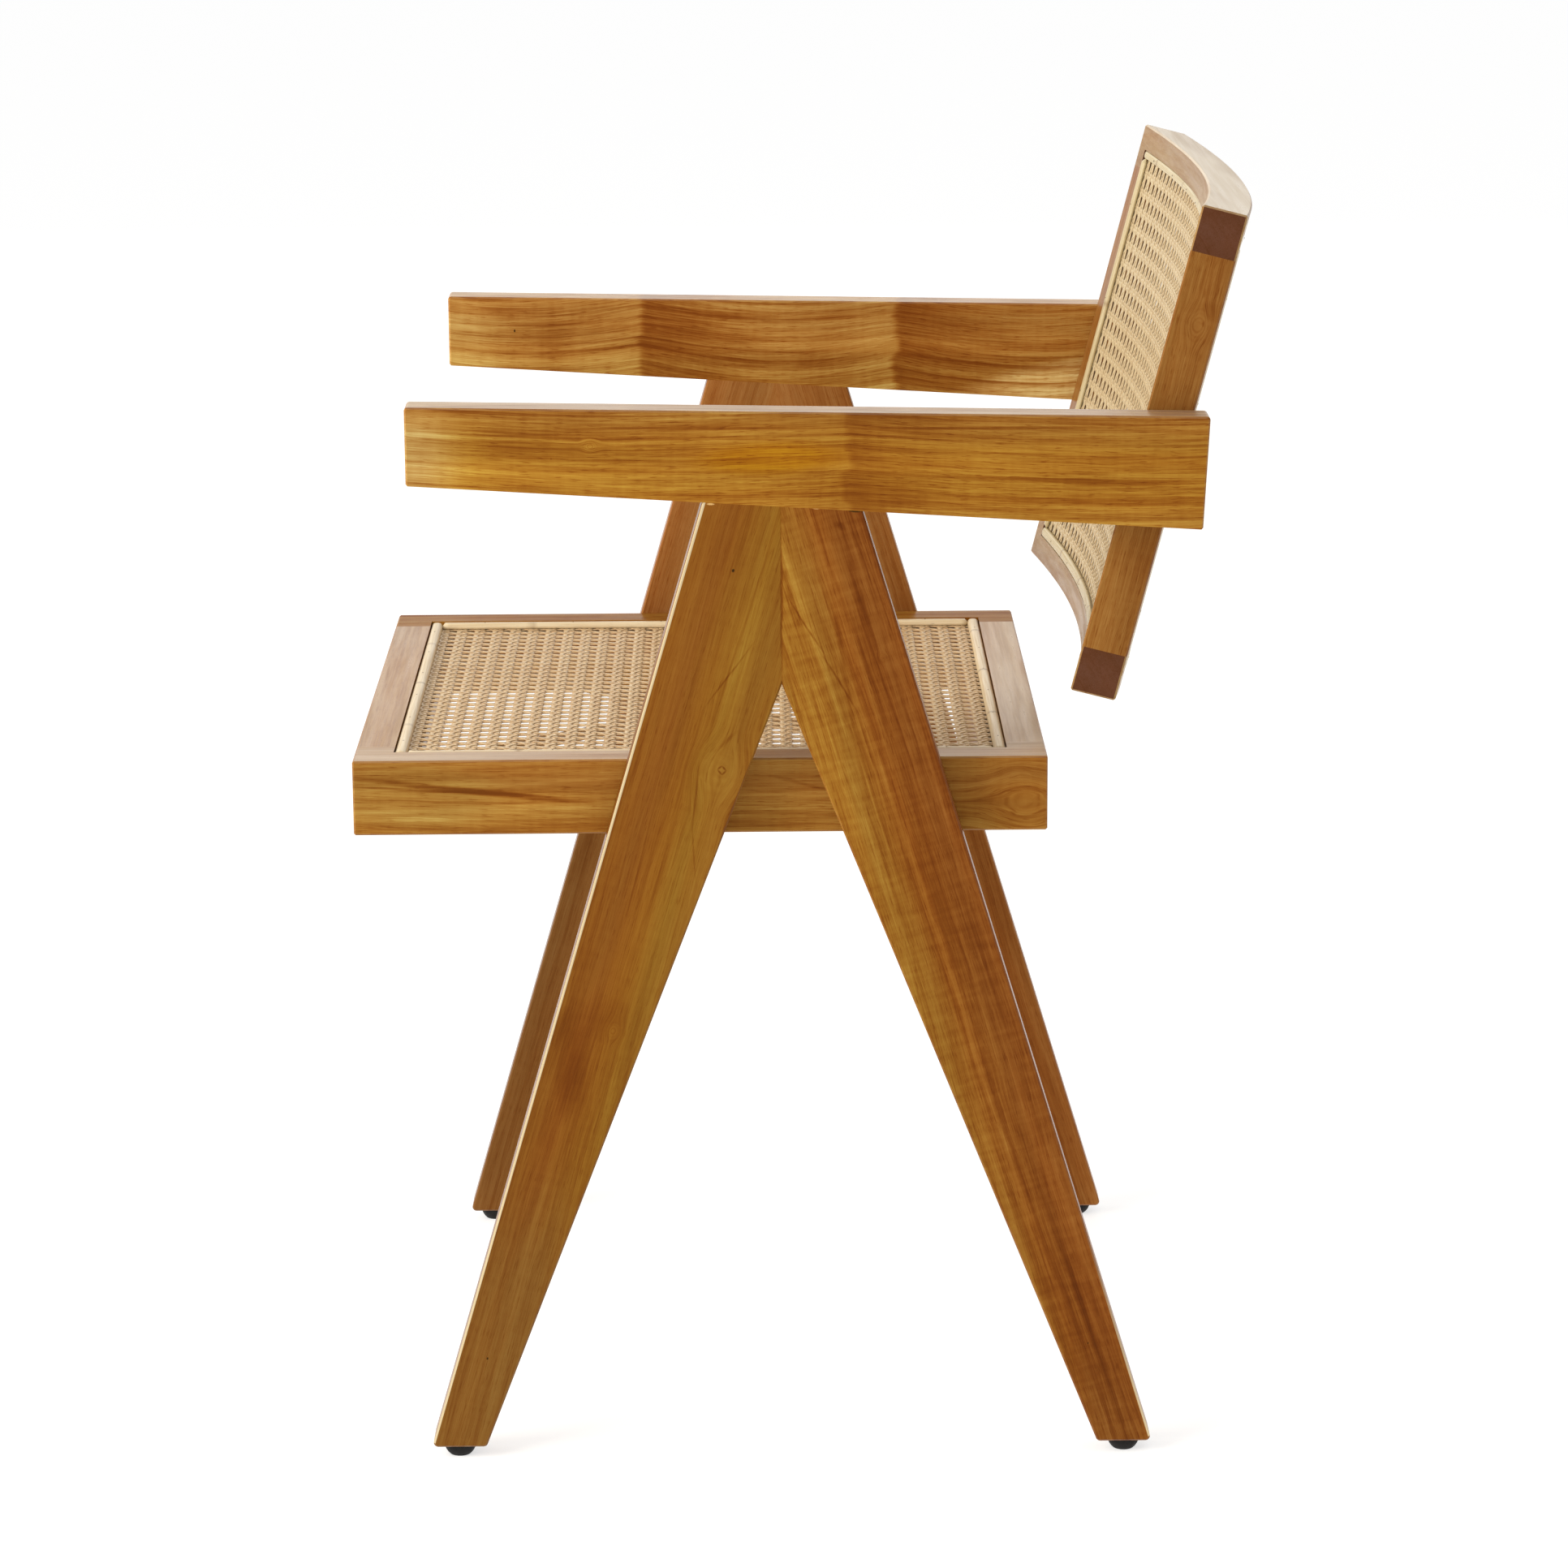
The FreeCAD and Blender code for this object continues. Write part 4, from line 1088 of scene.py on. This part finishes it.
# The photograph's camera: its place, its aim, and its focal length in pixels
PHOTO_SIZE = 1932
CAMERA_PLACE = (3.28893, -0.03541, 1.18892)
CAMERA_YAW = 0.009313
CAMERA_PITCH = -0.238370
CAMERA_ROLL = -0.006119
FOCAL_PIXELS = 6181.6
PRINCIPAL_POINT = (985.18, 956.98)
SENSOR = 36.0
FARTHEST = 200


def camera():
    forward = Vector((-math.cos(CAMERA_PITCH) * math.cos(CAMERA_YAW),
                      math.cos(CAMERA_PITCH) * math.sin(CAMERA_YAW), math.sin(CAMERA_PITCH)))
    level = Vector((math.sin(CAMERA_YAW), math.cos(CAMERA_YAW), 0))
    raised = level.cross(forward)
    right = level * math.cos(CAMERA_ROLL) + raised * math.sin(CAMERA_ROLL)
    up = right.cross(forward)
    data = bpy.data.cameras.new("camera")
    data.sensor_width = SENSOR
    data.lens = FOCAL_PIXELS / PHOTO_SIZE * SENSOR
    data.shift_x = 0.5 - PRINCIPAL_POINT[0] / PHOTO_SIZE
    data.shift_y = PRINCIPAL_POINT[1] / PHOTO_SIZE - 0.5
    data.clip_end = FARTHEST
    made = bpy.data.objects.new("camera", data)
    made.matrix_world = Matrix.Translation(CAMERA_PLACE) @ Matrix((right, up, -forward)).transposed().to_4x4()
    bpy.context.scene.collection.objects.link(made)
    bpy.context.scene.camera = made


def paint_fittings(steel):
    plastic = plain_finish("plastic", "#201E1D", "#161514", 0.5, 0.65, 400, specular=0.15)
    webbing = webbing_finish()
    for node in ("front_glides", "rear_glides"):
        paint(node, plastic)
    for node in ("seat_strap_upper", "seat_strap_lower"):
        paint(node, webbing)
    paint("glide_nails", steel)


def seat_and_back(brass):
    """The weave and the beads of the three panels. The back's cane and beads are darker copies of the seat's,
    a painted shade, and the back's cane has a stronger painted glow.
    """
    # Painted glow: the seat's cane glows faintly, and the back's darker copy glows more
    cane = cane_finish("cane", "#DAC29A", "#BD9A6C", 0.03)
    painted_glow_cane = cane_finish("painted_glow_cane", "#CAB994", "#AE956C", 0.15)
    rattan = bead_finish("rattan", "#E2D1AF", "#D0B890")
    painted_shade_rattan = bead_finish("painted_shade_rattan", "#C8BA94", "#B4A074")
    seat = SeatPanel()
    weave("seat_weave", seat, SEAT_PHASES, cane, "seat_cane")
    beads("seat", seat, rattan, brass)
    for name, outward in (("front", -1), ("rear", 1)):
        panel = BackPanel(outward)
        weave("back_%s_weave" % name, panel, BACK_PHASES, painted_glow_cane, "back_cane_" + name)
        beads("back_" + name, panel, painted_shade_rattan, brass)


def build():
    steel = plain_finish("steel", "#A8A39A", "#7F7A72", 0.3, 0.45, 900, 1.0)
    brass = plain_finish("pin", "#6A4C28", "#46301A", 0.35, 0.5, 900, 0.6)
    paint_wood()
    paint_fittings(steel)
    seat_and_back(brass)
    strap_tacks(steel)
    studio()
    camera()


build()
